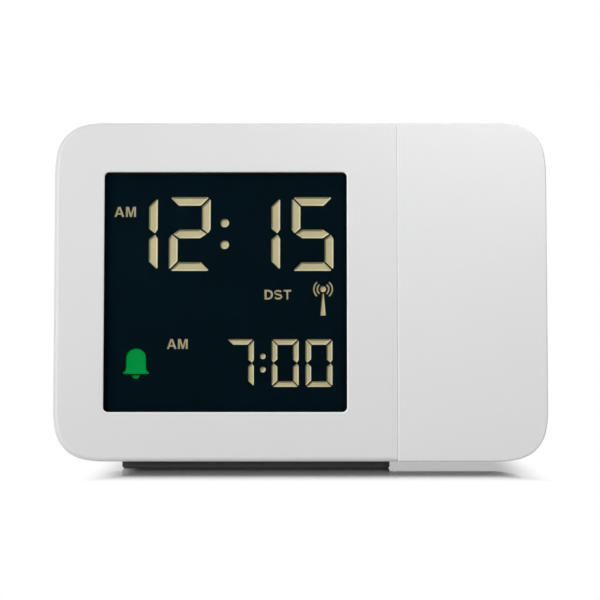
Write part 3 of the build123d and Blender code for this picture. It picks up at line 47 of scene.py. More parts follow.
camera_distance = 1.076
camera_height = 0.04673
camera_side = -0.00017
lens_length = 229.14
sensor_width = 36.0
clip_near = 0.01
clip_far = 100.0
upright = math.radians(90.0)

camera_data = bpy.data.cameras.new("camera")
camera_data.lens = lens_length
camera_data.sensor_width = sensor_width
camera_data.clip_start = clip_near
camera_data.clip_end = clip_far
camera = bpy.data.objects.new("camera", camera_data)
camera.location = (camera_side, -camera_distance, camera_height)
camera.rotation_euler = (upright, 0.0, 0.0)
scene.collection.objects.link(camera)
scene.camera = camera

# ---------------------------------------------------------------- the table top
# A wide sheet of gloss white laminate. It mirrors the clock and takes its shadow, and close round the foot
# its colour is painted dark as well, a painted contact shadow that only the camera and reflections see;
# further out it is lit to the white of the room.

table_half = 6.0
table_gloss = 0.04
table_ior = 1.45
table_white = 0.8
table_shade = 0.60
painted_shadow_colour = 0.05
painted_shadow_start = 0.020
painted_shadow_end = 0.058
shadow_front = -0.040
white_front = -0.096
shadow_back = 0.026
white_back = 0.060
shadow_left = -0.044
white_left = -0.058
shadow_right = 0.054
white_right = 0.066
slow_start = 2.0
white_light = (1.0, 1.0, 1.0, 1.0)


def socket(node, name):
    """The output of a node by its name."""
    return node.outputs[name]


def add_node(tree, kind, inputs=None, **settings):
    """A node of a shader tree, with its settings and its unlinked or linked inputs."""
    node = tree.nodes.new(kind)
    for name, value in settings.items():
        setattr(node, name, value)
    for name, value in (inputs or {}).items():
        if isinstance(value, bpy.types.NodeSocket):
            tree.links.new(value, node.inputs[name])
        else:
            node.inputs[name].default_value = value
    return node


def reckon(tree, operation, first, second=0.0):
    """The result of one operation on two values."""
    return socket(add_node(tree, "ShaderNodeMath", {0: first, 1: second}, operation=operation), "Value")


def ramp(tree, value, start, end, low=0.0, high=1.0, curve="LINEAR"):
    """A value that goes from low to high while another goes from start to end."""
    inputs = {"Value": value, "From Min": start, "From Max": end, "To Min": low, "To Max": high}
    return socket(add_node(tree, "ShaderNodeMapRange", inputs, interpolation_type=curve), "Result")


def choose(tree, factor, at_none, at_full):
    """A value that turns from one to another as a factor goes from 0 to 1."""
    inputs = {"Factor": factor, "A": at_none, "B": at_full}
    return socket(add_node(tree, "ShaderNodeMix", inputs, data_type="FLOAT"), "Result")


def fresh_material(name):
    """A material with an empty tree and its output node."""
    material = bpy.data.materials.new(name)
    material.use_nodes = True
    material.node_tree.nodes.clear()
    output = material.node_tree.nodes.new("ShaderNodeOutputMaterial")
    return material, material.node_tree, output


table_material, tree, output = fresh_material("gloss_laminate")
place = add_node(tree, "ShaderNodeTexCoord")
across = add_node(tree, "ShaderNodeSeparateXYZ", {"Vector": socket(place, "Object")})
side = socket(across, "X")
depth = socket(across, "Y")
to_front = ramp(tree, depth, shadow_front, white_front, curve="SMOOTHSTEP")
to_back = ramp(tree, depth, shadow_back, white_back, curve="SMOOTHSTEP")
to_left = ramp(tree, side, shadow_left, white_left, curve="SMOOTHSTEP")
to_right = ramp(tree, side, shadow_right, white_right, curve="SMOOTHSTEP")
front_or_back = reckon(tree, "POWER", reckon(tree, "MAXIMUM", to_front, to_back), slow_start)
left_or_right = reckon(tree, "MAXIMUM", to_left, to_right)
far_out = reckon(tree, "MAXIMUM", front_or_back, left_or_right)
# Painted contact shadow: the laminate's colour darkens towards the foot, while bounced light still sees it
# white.
painted_contact_shadow = ramp(
    tree,
    reckon(tree, "ABSOLUTE", depth),
    painted_shadow_start,
    painted_shadow_end,
    painted_shadow_colour,
    table_shade,
    "SMOOTHSTEP",
)
seen = add_node(tree, "ShaderNodeLightPath")
table_colour = choose(tree, socket(seen, "Is Diffuse Ray"), painted_contact_shadow, table_white)
laminate = add_node(
    tree,
    "ShaderNodeBsdfPrincipled",
    {"Base Color": table_colour, "Roughness": table_gloss, "IOR": table_ior},
)
room_white = add_node(tree, "ShaderNodeEmission", {"Color": white_light, "Strength": 1.0})
in_gloss = reckon(tree, "MAXIMUM", socket(seen, "Is Glossy Ray"), socket(seen, "Is Transmission Ray"))
in_view = reckon(tree, "MAXIMUM", socket(seen, "Is Camera Ray"), in_gloss)
mixed = add_node(
    tree,
    "ShaderNodeMixShader",
    {
        0: reckon(tree, "MULTIPLY", in_view, far_out),
        1: socket(laminate, "BSDF"),
        2: socket(room_white, "Emission"),
    },
)
tree.links.new(socket(mixed, "Shader"), output.inputs["Surface"])

table_mesh = bpy.data.meshes.new("table_top")
corners = [(-table_half, -table_half, 0.0), (table_half, -table_half, 0.0)]
corners += [(table_half, table_half, 0.0), (-table_half, table_half, 0.0)]
table_mesh.from_pydata(corners, [], [(0, 1, 2, 3)])
table_mesh.materials.append(table_material)
table_top = bpy.data.objects.new("table_top", table_mesh)
scene.collection.objects.link(table_top)

# ---------------------------------------------------------------- the light
# A white room, dimmer near the floor, whose front is kept dark so that the window mirrors nothing,
# and four soft lamps: the main one in front at the left, a weak one at the right, a small one close
# to the projector section, and a large one high at the back.

room_level = 0.38
dark_front = 0.003
dark_front_end = -0.9
dark_front_start = -0.55
skirting_level = 0.62
skirting_foot = 0.06
skirting_top = 0.14

world = bpy.data.worlds.new("room")
world.use_nodes = True
scene.world = world
tree = world.node_tree
tree.nodes.clear()
output = tree.nodes.new("ShaderNodeOutputWorld")
place = add_node(tree, "ShaderNodeTexCoord")
towards = add_node(tree, "ShaderNodeSeparateXYZ", {"Vector": socket(place, "Generated")})
front = ramp(
    tree, socket(towards, "Y"), dark_front_end, dark_front_start, dark_front, 1.0, "SMOOTHSTEP"
)
low_wall = ramp(tree, socket(towards, "Z"), skirting_foot, skirting_top, skirting_level, 1.0, "SMOOTHSTEP")
mirrored_room = reckon(tree, "MULTIPLY", front, low_wall)
seen = add_node(tree, "ShaderNodeLightPath")
in_gloss = reckon(tree, "MAXIMUM", socket(seen, "Is Glossy Ray"), socket(seen, "Is Transmission Ray"))
unseen = choose(tree, in_gloss, room_level, mirrored_room)
level = choose(tree, socket(seen, "Is Camera Ray"), unseen, 1.0)
room = add_node(tree, "ShaderNodeBackground", {"Color": white_light, "Strength": level})
tree.links.new(socket(room, "Background"), output.inputs["Surface"])


def soft_box(name, place, size, power):
    """A square lamp that looks at the middle of the clock."""
    lamp = bpy.data.lights.new(name, "AREA")
    lamp.shape = "SQUARE"
    lamp.size = size
    lamp.energy = power
    box = bpy.data.objects.new(name, lamp)
    box.location = place
    aim = Vector((0.0, 0.0, camera_height)) - Vector(place)
    box.rotation_mode = "QUATERNION"
    box.rotation_quaternion = aim.to_track_quat("-Z", "Y")
    box.visible_camera = False
    scene.collection.objects.link(box)


soft_box("left_soft_box", place=(-0.40, -0.45, 0.20), size=0.25, power=1.70)
soft_box("right_soft_box", place=(0.50, -0.60, 0.30), size=0.25, power=0.15)
soft_box("near_soft_box", place=(0.09, -0.11, 0.19), size=0.08, power=0.105)
soft_box("back_soft_box", place=(0.2, 1.1, 0.9), size=0.6, power=3.0)

# ---------------------------------------------------------------- the white mouldings
# Bezel, housing, battery door and snooze bar are moulded in one white ABS with a fine satin grain.
# The projector section's shell and side plate are moulded a shade lighter, and the small round of the shell's
# edge at the seam carries a painted highlight.

grain_size = 0.00016
grain_height = 0.00002
grain_strength = 0.5
gloss_drift = 0.08
cloud_size = 0.045
noise_low = 0.3
noise_high = 0.7


def noise(tree, place, size, detail, roughness=0.5):
    """A cloudy value whose patches have a size in metres."""
    inputs = {"Vector": place, "Scale": 1.0 / size, "Detail": detail, "Roughness": roughness}
    return socket(add_node(tree, "ShaderNodeTexNoise", inputs), "Fac")


def scaled(tree, colour, factor):
    """A colour made lighter or darker by a factor."""
    return socket(
        add_node(tree, "ShaderNodeVectorMath", {0: colour, "Scale": factor}, operation="SCALE"), "Vector"
    )


def moulded(name, colour, roughness, grain=grain_size, tone=0.03, gleam=0.5, metal=0.0, coat=0.0):
    """A moulded or milled surface with a fine grain, whose colour and gloss drift a little."""
    material, tree, output = fresh_material(name)
    place = socket(add_node(tree, "ShaderNodeTexCoord"), "Object")
    cloud = noise(tree, place, cloud_size, detail=2.0)
    shade = ramp(tree, cloud, noise_low, noise_high, 1.0 - tone, 1.0 + tone)
    pits = noise(tree, place, grain, detail=3.0, roughness=0.6)
    dullest = roughness * (1.0 + gloss_drift)
    glossiest = roughness * (1.0 - gloss_drift)
    bump = add_node(
        tree, "ShaderNodeBump", {"Height": pits, "Distance": grain_height, "Strength": grain_strength}
    )
    surface = add_node(
        tree,
        "ShaderNodeBsdfPrincipled",
        {
            "Base Color": scaled(tree, colour, shade),
            "Roughness": ramp(tree, pits, noise_low, noise_high, glossiest, dullest),
            "Normal": socket(bump, "Normal"),
            "Metallic": metal,
            "Specular IOR Level": gleam,
            "Coat Weight": coat,
        },
    )
    tree.links.new(socket(surface, "BSDF"), output.inputs["Surface"])
    return material


def dress(material, *names):
    """Gives CAD nodes their material."""
    for name in names:
        mesh = nodes[name].data
        mesh.materials.clear()
        mesh.materials.append(material)


def node_of(tree, kind):
    """The first node of a kind in a tree."""
    return next(node for node in tree.nodes if node.type == kind)


def paint_highlight(tree, distance, start, end, lift):
    """Paints a highlight into a moulding's colour where a distance is under start, and leaves it past end."""
    surface = node_of(tree, "BSDF_PRINCIPLED")
    tinted = surface.inputs["Base Color"].links[0].from_socket
    lifted = scaled(tree, tinted, ramp(tree, distance, start, end, lift, 1.0))
    tree.links.new(lifted, surface.inputs["Base Color"])


white_colour = (0.74, 0.742, 0.745)
shell_colour = (0.762, 0.764, 0.767)
satin = 0.42
even_tone = 0.008
painted_seam_highlight_start = 0.0003
painted_seam_highlight_end = 0.0005
painted_seam_highlight = 1.10

white_abs = moulded("white_abs", white_colour, satin, tone=even_tone)
dress(white_abs, "rear_housing", "battery_door", "snooze_bar")

shell_abs = moulded("shell_abs", shell_colour, satin, tone=even_tone)
shell_low, shell_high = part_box("projector_shell")
tree = shell_abs.node_tree
across = add_node(
    tree, "ShaderNodeSeparateXYZ", {"Vector": socket(node_of(tree, "TEX_COORD"), "Object")}
)
# A painted highlight along the shell's edge at the seam.
highlight_until = shell_low.x + painted_seam_highlight_start
highlight_gone_from = shell_low.x + painted_seam_highlight_end
paint_highlight(tree, socket(across, "X"), highlight_until, highlight_gone_from, painted_seam_highlight)
dress(shell_abs, "projector_shell", "projector_side_plate")

# ---------------------------------------------------------------- the display window
# A flat pane of polished acrylic behind the bezel, with a black border printed on its back. The bezel's
# opening has a narrow slope round it, which carries a painted highlight.

face_lean = math.radians(8.0)
face_right = Vector((1.0, 0.0, 0.0))
face_up = Vector((0.0, math.sin(face_lean), math.cos(face_lean)))
face_inward = Vector((0.0, math.cos(face_lean), -math.sin(face_lean)))
window_width = 0.0676
window_height = 0.067425
window_corner = 0.0014
window_chamfer = 0.00035
painted_chamfer_highlight = 1.27
painted_highlight_blur = 0.1
pane_back = 0.0026
pane_middle_depth = 0.0018
acrylic_ior = 1.49
polish_drift = 0.5
pane_low, pane_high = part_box("display_window")
window_centre = (pane_low + pane_high) / 2 - face_inward * pane_middle_depth
face_matrix = Matrix.Translation(window_centre) @ Matrix(
    (
        (face_right.x, face_up.x, face_inward.x, 0.0),
        (face_right.y, face_up.y, face_inward.y, 0.0),
        (face_right.z, face_up.z, face_inward.z, 0.0),
        (0.0, 0.0, 0.0, 1.0),
    )
)


def clear_plastic(name, tint, roughness, ior):
    """Polished clear plastic or glass with the faintest unevenness in its gloss."""
    material, tree, output = fresh_material(name)
    place = socket(add_node(tree, "ShaderNodeTexCoord"), "Object")
    cloud = noise(tree, place, cloud_size, detail=1.0)
    dullest = roughness * (1.0 + polish_drift)
    glossiest = roughness * (1.0 - polish_drift)
    surface = add_node(
        tree,
        "ShaderNodeBsdfPrincipled",
        {
            "Base Color": (*tint, 1.0),
            "Roughness": ramp(tree, cloud, 0.0, 1.0, glossiest, dullest),
            "IOR": ior,
            "Transmission Weight": 1.0,
        },
    )
    tree.links.new(socket(surface, "BSDF"), output.inputs["Surface"])
    return material


def bezel_with_painted_highlight():
    """The white ABS of the bezel, with a painted highlight on the narrow slope round the window."""
    material = moulded("bezel_abs", white_colour, satin, tone=even_tone)
    tree = material.node_tree
    place = socket(node_of(tree, "TEX_COORD"), "Object")
    from_centre = add_node(tree, "ShaderNodeVectorMath", {0: place, 1: window_centre}, operation="SUBTRACT")
    beyond = []
    for direction, half in ((face_right, window_width / 2), (face_up, window_height / 2)):
        both = {0: socket(from_centre, "Vector"), 1: direction}
        along = add_node(tree, "ShaderNodeVectorMath", both, operation="DOT_PRODUCT")
        reach = reckon(tree, "ABSOLUTE", socket(along, "Value"))
        past = reckon(tree, "SUBTRACT", reach, half - window_corner)
        beyond.append(reckon(tree, "MAXIMUM", past, 0.0))
    corner = add_node(tree, "ShaderNodeCombineXYZ", {"X": beyond[0], "Y": beyond[1]})
    outside = add_node(tree, "ShaderNodeVectorMath", {0: socket(corner, "Vector")}, operation="LENGTH")
    # The painted highlight covers the narrow slope round the window.
    painted_highlight_start = window_corner + (1.0 - painted_highlight_blur) * window_chamfer
    painted_highlight_end = window_corner + (1.0 + painted_highlight_blur) * window_chamfer
    paint_highlight(tree, socket(outside, "Value"), painted_highlight_start, painted_highlight_end, painted_chamfer_highlight)
    return material


dress(bezel_with_painted_highlight(), "front_bezel")
window_acrylic = clear_plastic("window_acrylic", tint=(0.97, 0.985, 0.98), roughness=0.01, ior=acrylic_ior)
dress(window_acrylic, "display_window")
nodes["display_window"].visible_shadow = False


def on_face(name, mesh, body, *materials):
    """Places a mesh drawn flat on the face, X right, Y up and Z inward, and rides it on its body."""
    mesh.transform(face_matrix)
    for material in materials:
        mesh.materials.append(material)
    piece = bpy.data.objects.new(name, mesh)
    scene.collection.objects.link(piece)
    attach(piece, body)
    return piece


def rounded(corners, steps=5):
    """A closed outline through corners (x, y, radius), each turned by an arc of its radius."""
    outline = []
    count = len(corners)
    for index in range(count):
        x, y, radius = corners[index]
        corner = Vector((x, y))
        before = Vector(corners[index - 1][:2])
        after = Vector(corners[(index + 1) % count][:2])
        to_before = (before - corner).normalized()
        to_after = (after - corner).normalized()
        half_turn = to_before.angle(to_after) / 2
        reach = radius / math.tan(half_turn)
        middle = (to_before + to_after).normalized()
        centre = corner + middle * (radius / math.sin(half_turn))
        start = corner + to_before * reach - centre
        end = corner + to_after * reach - centre
        sweep = start.angle_signed(end)
        for step in range(steps + 1):
            angle = -sweep * step / steps
            outline.append(centre + Matrix.Rotation(angle, 2) @ start)
    return outline


merge_distance = 1e-7


def plate(name, outlines, near, far):
    """A flat sheet with holes: the first outline is its edge and the others are cut out of it."""
    curve = bpy.data.curves.new(name, "CURVE")
    curve.dimensions = "2D"
    curve.fill_mode = "BOTH"
    curve.extrude = (far - near) / 2
    for outline in outlines:
        spline = curve.splines.new("POLY")
        spline.points.add(len(outline) - 1)
        for point, place in zip(spline.points, outline):
            point.co = (place.x, place.y, 0.0, 1.0)
        spline.use_cyclic_u = True
    flat = bpy.data.objects.new(name + "_outline", curve)
    mesh = bpy.data.meshes.new_from_object(flat)
    mesh.name = name
    bpy.data.objects.remove(flat)
    bpy.data.curves.remove(curve)
    mesh.transform(Matrix.Translation((0.0, 0.0, (near + far) / 2)))
    cleaned = bmesh.new()
    cleaned.from_mesh(mesh)
    bmesh.ops.remove_doubles(cleaned, verts=cleaned.verts, dist=merge_distance)
    bmesh.ops.recalc_face_normals(cleaned, faces=cleaned.faces)
    cleaned.to_mesh(mesh)
    cleaned.free()
    mesh.materials.clear()
    return mesh


def rectangle(width, height, radius):
    """A centred rectangle with round corners."""
    x = width / 2
    y = height / 2
    return rounded([(-x, -y, radius), (x, -y, radius), (x, y, radius), (-x, y, radius)])


border_show = 0.00045
border_hidden = 0.0010
ink_gap = 0.00001
ink_thickness = 0.00003
border_ink = moulded("border_ink", (0.0006, 0.0006, 0.0006), roughness=0.5, tone=0.1, gleam=0.05)
border_outer = rectangle(
    window_width + 2 * border_hidden, window_height + 2 * border_hidden, window_corner + border_hidden
)
border_inner = rectangle(
    window_width - 2 * border_show, window_height - 2 * border_show, window_corner - border_show
)
ink_front = pane_back + ink_gap
border_mesh = plate("window_border", [border_outer, border_inner], ink_front, ink_front + ink_thickness)
window_border = on_face("window_border", border_mesh, "clock_body", border_ink)

# ---------------------------------------------------------------- the display
# A negative LCD: a near-black film with the signs left open, and below each opening a shallow
# tray with sloping sides that the lamps behind light up, cream for the time and green for the bell.

millimetre = 0.001
film_front = 0.00270
film_back = 0.00276
tray_floor = 0.00306
tray_back = 0.00314

digit_width = 11.60
digit_height = 20.80
digit_top = 26.87
digit_lefts = (-30.57, -15.82, 3.57, 18.42)
digit_slope = 0.42
colon_x = -0.28
colon_heights = (19.54, 13.42)
colon_radius = 1.18
small_width = 7.50
small_height = 13.34
small_top = -13.11
small_lefts = (0.40, 12.85, 22.23)
small_slope = 0.34
small_colon_x = 10.40
small_colon_heights = (-17.93, -21.62)
small_colon_radius = 0.78
time_digits = ("bc", "abged", "bc", "afgcd")
alarm_digits = ("abc", "abcdef", "abcdef")
cap_steps = 5
bend_steps = 12
short_bend_steps = 9


def bar(letter, left, top, width, height):
    """The outline of one of the seven bars, a to g, of a digit."""
    stroke = 0.208 * width
    mitre = 0.028 * width
    middle = height / 2
    tip_in = 0.067 * width
    sharp = 0.013 * width
    soft = 0.022 * width
    edge_drop = 0.113 * width
    tip_drop = 0.015 * width
    inner_drop = 0.133 * width
    bar_tip = 0.097 * width
    bar_shoulder = bar_tip + 0.156 * width
    if letter in "ad":
        shape = [
            (mitre, 0.0, soft),
            (width - mitre, 0.0, soft),
            (width - stroke - mitre, stroke, sharp),
            (stroke + mitre, stroke, sharp),
        ]
    elif letter == "g":
        low = middle - stroke / 2
        high = middle + stroke / 2
        shape = [
            (bar_tip, middle, sharp),
            (bar_shoulder, low, sharp),
            (width - bar_shoulder, low, sharp),
            (width - bar_tip, middle, sharp),
            (width - bar_shoulder, high, sharp),
            (bar_shoulder, high, sharp),
        ]
    else:
        shape = [
            (width - stroke, stroke + mitre, sharp),
            (width, mitre, soft),
            (width, middle - edge_drop, soft),
            (width - tip_in, middle - tip_drop, sharp),
            (width - stroke, middle - inner_drop, sharp),
        ]
    if letter in "cde":
        shape = [(x, height - y, radius) for x, y, radius in shape]
    if letter in "ef":
        shape = [(width - x, y, radius) for x, y, radius in shape]
    return rounded([(left + x, top - y, radius) for x, y, radius in shape])


def arc(x, y, radius_x, radius_y, start, end, steps):
    """Points along an arc about (x, y), between two angles."""
    turns = [start + (end - start) * step / steps for step in range(steps + 1)]
    return [Vector((x + radius_x * math.cos(turn), y + radius_y * math.sin(turn))) for turn in turns]


def ring(x, y, radius, steps=24):
    """A circle as an outline."""
    return arc(x, y, radius, radius, 0.0, 2 * math.pi, steps)[:-1]


def bow(x, y, radius, facing, spread, width, steps=14):
    """A round-ended stroke along an arc about a point."""
    start = facing - spread
    end = facing + spread
    outer = arc(x, y, radius + width / 2, radius + width / 2, start, end, steps)
    inner = arc(x, y, radius - width / 2, radius - width / 2, end, start, steps)
    caps = []
    for turn, first in ((end, end), (start, start + math.pi)):
        tip = Vector((x + radius * math.cos(turn), y + radius * math.sin(turn)))
        caps.append(arc(tip.x, tip.y, width / 2, width / 2, first, first + math.pi, cap_steps)[1:-1])
    return outer + caps[0] + inner + caps[1]


def area(outline):
    """The signed area of an outline, positive where it runs anticlockwise."""
    return sum(a.x * b.y - b.x * a.y for a, b in zip(outline, outline[1:] + outline[:1])) / 2


def wound(outlines):
    """The outlines of a sign with its edge run anticlockwise and its holes clockwise."""
    return [
        outline if (area(outline) > 0) == (number == 0) else outline[::-1]
        for number, outline in enumerate(outlines)
    ]


def trail(path, width):
    """The outline of a flat-ended stroke of a width along a path."""
    sides = ([], [])
    for index in range(len(path)):
        along = path[min(index + 1, len(path) - 1)] - path[max(index - 1, 0)]
        across = Vector((-along.y, along.x)).normalized() * width / 2
        sides[0].append(path[index] - across)
        sides[1].append(path[index] + across)
    return sides[0] + sides[1][::-1]


def letter_shape(letter):
    """The outlines of a bold plain capital in a box of one by one: its edge and then its hole."""
    quarter = math.pi / 2
    if letter == "A":
        edge = [(0, 0), (0.22, 0), (0.31, 0.23), (0.69, 0.23), (0.78, 0), (1, 0), (0.62, 1), (0.38, 1)]
        return [edge, [(0.37, 0.39), (0.5, 0.78), (0.63, 0.39)]]
    if letter == "M":
        left_half = [(0.5, 0.3), (0.29, 1), (0, 1), (0, 0), (0.2, 0), (0.2, 0.72), (0.41, 0)]
        return [left_half + [(1 - x, y) for x, y in left_half[:0:-1]]]
    if letter == "T":
        return [[(0.38, 0), (0.62, 0), (0.62, 0.8), (1, 0.8), (1, 1), (0, 1), (0, 0.8), (0.38, 0.8)]]
    if letter == "D":
        edge = [(0, 1), (0, 0), *arc(0.45, 0.5, 0.55, 0.5, -quarter, quarter, bend_steps)]
        hole = [(0.25, 0.81), (0.25, 0.19), *arc(0.42, 0.5, 0.33, 0.31, -quarter, quarter, bend_steps)]
        return [edge, hole]
    # S: the middle of its stroke runs from the upper right end round to the lower left end.
    upper = arc(0.5, 0.715, 0.37, 0.185, math.radians(20), math.radians(240), short_bend_steps)
    lower = arc(0.5, 0.295, 0.40, 0.195, math.radians(60), math.radians(-160), short_bend_steps)
    return [trail(upper + lower, 0.2)]


def lettering(word, cells, top, bottom):
    """The outlines of a word's letters, each with its left and right end."""
    return [
        [
            [Vector((left + x * (right - left), bottom + y * (top - bottom))) for x, y in loop]
            for loop in letter_shape(letter)
        ]
        for letter, (left, right) in zip(word, cells)
    ]


# Each sign is (outlines, width of its sloping sides in mm, number of its first material).
cream = 0
green = 3
black = 6
signs = []
for lefts, bar_sets, top, width, height, slope in (
    (digit_lefts, time_digits, digit_top, digit_width, digit_height, digit_slope),
    (small_lefts, alarm_digits, small_top, small_width, small_height, small_slope),
):
    for left, bars in zip(lefts, bar_sets):
        signs += [([bar(letter, left, top, width, height)], slope, cream) for letter in bars]
for x, heights, radius, slope in (
    (colon_x, colon_heights, colon_radius, digit_slope),
    (small_colon_x, small_colon_heights, small_colon_radius, small_slope),
):
    signs += [([ring(x, height, radius)], slope, cream) for height in heights]

am_time_cells = ((-31.10, -28.36), (-27.90, -25.08))
am_time_rows = (24.18, 21.28)
am_alarm_cells = ((-16.30, -13.62), (-13.22, -10.50))
am_alarm_rows = (-13.03, -15.84)
dst_cells = ((10.80, 13.20), (13.45, 15.80), (16.10, 18.22))
dst_rows = (0.80, -1.98)
letter_slope = 0.1
for word, cells, rows in (
    ("AM", am_time_cells, am_time_rows),
    ("AM", am_alarm_cells, am_alarm_rows),
    ("DST", dst_cells, dst_rows),
):
    signs += [(letter, letter_slope, cream) for letter in lettering(word, cells, *rows)]

# The radio mast: a ball on a tapering post, with two waves on each side.
mast_x = 27.11
mast_y = 0.93
mast_ball = 0.84
mast_foot = -6.47
mast_half_top = 0.22
mast_half_foot = 0.76
post_drop = 1.3
post_corner = 0.1
post_slope = 0.2
wave_radii = (1.60, 2.56)
wave_spread = math.radians(46.0)
wave_width = 0.44
wave_slope = 0.10
post = rounded(
    [
        (mast_x - mast_half_foot, mast_foot, post_corner),
        (mast_x + mast_half_foot, mast_foot, post_corner),
        (mast_x + mast_half_top, mast_y - post_drop, post_corner),
        (mast_x - mast_half_top, mast_y - post_drop, post_corner),
    ]
)
signs.append(([ring(mast_x, mast_y, mast_ball)], small_slope, cream))
signs.append(([post], post_slope, cream))
for facing in (0.0, math.pi):
    for radius in wave_radii:
        signs.append(([bow(mast_x, mast_y, radius, facing, wave_spread, wave_width)], wave_slope, cream))

# The bell of the alarm: a dome that flares to its rim, and the clapper below.
bell_x = -24.84
bell_top = -15.71
bell_slope = 0.22
bell_half = ((3.57, 7.12, 0.2), (3.57, 6.60, 0.25), (2.95, 6.25, 0.35), (2.76, 5.2, 0.5), (2.76, 0.0, 2.7))
clapper_width = 1.1
clapper_height = 1.0
clapper_drop = 7.48
clapper_slope = 0.12
bell_right = [(bell_x + x, bell_top - y, radius) for x, y, radius in bell_half]
bell_left = [(bell_x - x, bell_top - y, radius) for x, y, radius in bell_half]
bell = rounded([bell_left[0], *bell_right, *bell_left[:0:-1]])
clapper_y = bell_top - clapper_drop
clapper = arc(bell_x, clapper_y, clapper_width, clapper_height, math.pi, 2 * math.pi, bend_steps)
signs.append(([bell], bell_slope, green))
signs.append(([clapper], clapper_slope, green))

# A tray's rim reaches past its sign by the halo, in mm, as a black ring of painted shade. Its sides carry
# painted light and shade: lighter where they face the upper left, and darker where they turn away from it.
painted_shade_halo = 0.13
painted_light_from = Vector((-0.707, 0.707))
turned_enough = 0.3
sharpest_mitre = 0.5


def inset(outline, distance):
    """The outline moved to its left by a distance, with mitred corners."""
    moved = []
    count = len(outline)
    for index in range(count):
        here = outline[index]
        along = (here - outline[index - 1]).normalized()
        ahead = (outline[(index + 1) % count] - here).normalized()
        left = Vector((-along.y, along.x))
        left_ahead = Vector((-ahead.y, ahead.x))
        middle = (left + left_ahead).normalized()
        moved.append(here + middle * (distance / max(sharpest_mitre, middle.dot(left))))
    return moved


def trays(name):
    """Every tray in one mesh: a flat black rim of painted shade, sloping sides, a floor, and a back a little
    below it.
    """
    made = bmesh.new()

    def band(high, high_depth, low, low_depth, material):
        """The faces between two loops; the sides of a tray take painted light and shade by how they face the
        upper left.
        """
        rim = [made.verts.new((p.x * millimetre, p.y * millimetre, high_depth)) for p in high]
        sole = [made.verts.new((p.x * millimetre, p.y * millimetre, low_depth)) for p in low]
        for index in range(len(rim)):
            ahead = (index + 1) % len(rim)
            side = made.faces.new((rim[index], rim[ahead], sole[ahead], sole[index]))
            side.material_index = material
            if material == black:
                continue
            along = (high[ahead] - high[index]).normalized()
            facing = Vector((-along.y, along.x)).dot(painted_light_from)
            if facing < -turned_enough:
                side.material_index = material + 1
            elif facing > turned_enough:
                side.material_index = material + 2

    for outlines, slope, material in signs:
        edges = []
        floors = []
        for loop in wound(outlines):
            edge = inset(loop, -painted_shade_halo)
            edges.append(edge)
            floors.append(inset(loop, slope))
            band(edge, film_front, loop, film_front, black)
            band(loop, film_front, floors[-1], tray_floor, material)
            band(edge, tray_back, edge, film_front, black)
        for depth, loops, colour in ((tray_floor, floors, material), (tray_back, edges, black)):
            points = [p for loop in loops for p in loop]
            verts = [made.verts.new((p.x * millimetre, p.y * millimetre, depth)) for p in points]
            for triangle in tessellate_polygon([[Vector((p.x, p.y, 0.0)) for p in loop] for loop in loops]):
                face = made.faces.new([verts[corner] for corner in triangle])
                face.material_index = colour
    bmesh.ops.remove_doubles(made, verts=made.verts, dist=merge_distance)
    bmesh.ops.recalc_face_normals(made, faces=made.faces)
    mesh = bpy.data.meshes.new(name)
    made.to_mesh(mesh)
    made.free()
    return mesh


diffuser_glow = 0.3


def lit(name, colour):
    """A diffuser lit from behind, a little uneven from the lamps at its side."""
    material = moulded(name, colour, roughness=0.6, tone=0.02, gleam=0.02)
    surface = node_of(material.node_tree, "BSDF_PRINCIPLED")
    surface.inputs["Emission Color"].default_value = (*colour, 1.0)
    surface.inputs["Emission Strength"].default_value = diffuser_glow
    return material


# The trays' sides take lit and shaded copies of the cream and the green, as painted light and shade.
on_face(
    "display_signs",
    trays("display_signs"),
    "clock_body",
    lit("lit_cream", (0.345, 0.308, 0.186)),
    lit("cream_in_shade", (0.155, 0.136, 0.078)),
    lit("cream_to_lamp", (0.45, 0.41, 0.28)),
    lit("lit_green", (0.0, 0.186, 0.034)),
    lit("green_in_shade", (0.0, 0.12, 0.021)),
    lit("green_to_lamp", (0.0, 0.215, 0.044)),
    border_ink,
)

film_dark = moulded("lcd_film", (0.0011, 0.0054, 0.0085), roughness=0.6, tone=0.05, gleam=0.0)
film_edge = rectangle(window_width + 2 * border_hidden, window_height + 2 * border_hidden, window_corner)
# The film's openings are widened by the halo, so that the black rim of painted shade shows round each sign.
openings = [
    [place * millimetre for place in inset(loop, -painted_shade_halo)] for outlines, *_ in signs for loop in wound(outlines)
]
film_mesh = plate("display_film", [film_edge, *openings], film_front, film_back)
display_film = on_face("display_film", film_mesh, "clock_body", film_dark)
dress(film_dark, "lcd_glass")

# ---------------------------------------------------------------- the display stack behind the film
# A white moulded frame holds a clear light guide with lamps at its side and a white reflector
# behind it. Strips of layered rubber pressed between glass and board carry the contacts.

natural_plastic = moulded("natural_plastic", (0.60, 0.60, 0.58), roughness=0.5)
reflector_film = moulded("reflector_film", (0.85, 0.85, 0.85), roughness=0.6)
guide_acrylic = clear_plastic("guide_acrylic", tint=(0.97, 0.98, 0.97), roughness=0.08, ior=acrylic_ior)
lamp_body = moulded("lamp_body", (0.80, 0.78, 0.55), roughness=0.3)
layered_rubber = moulded("layered_rubber", (0.05, 0.05, 0.05), roughness=0.7)
dress(natural_plastic, "lcd_frame")
dress(reflector_film, "reflector_sheet")
dress(guide_acrylic, "light_guide")
dress(lamp_body, "backlight_leds", "lamp_led")
dress(layered_rubber, "zebra_strips")

# ---------------------------------------------------------------- boards and what they carry
# Green solder-masked boards that stand on bosses, ribs and a shelf of the mouldings, with black
# moulded chips and switches, a steel crystal can, sleeved capacitors and flat cable between them.

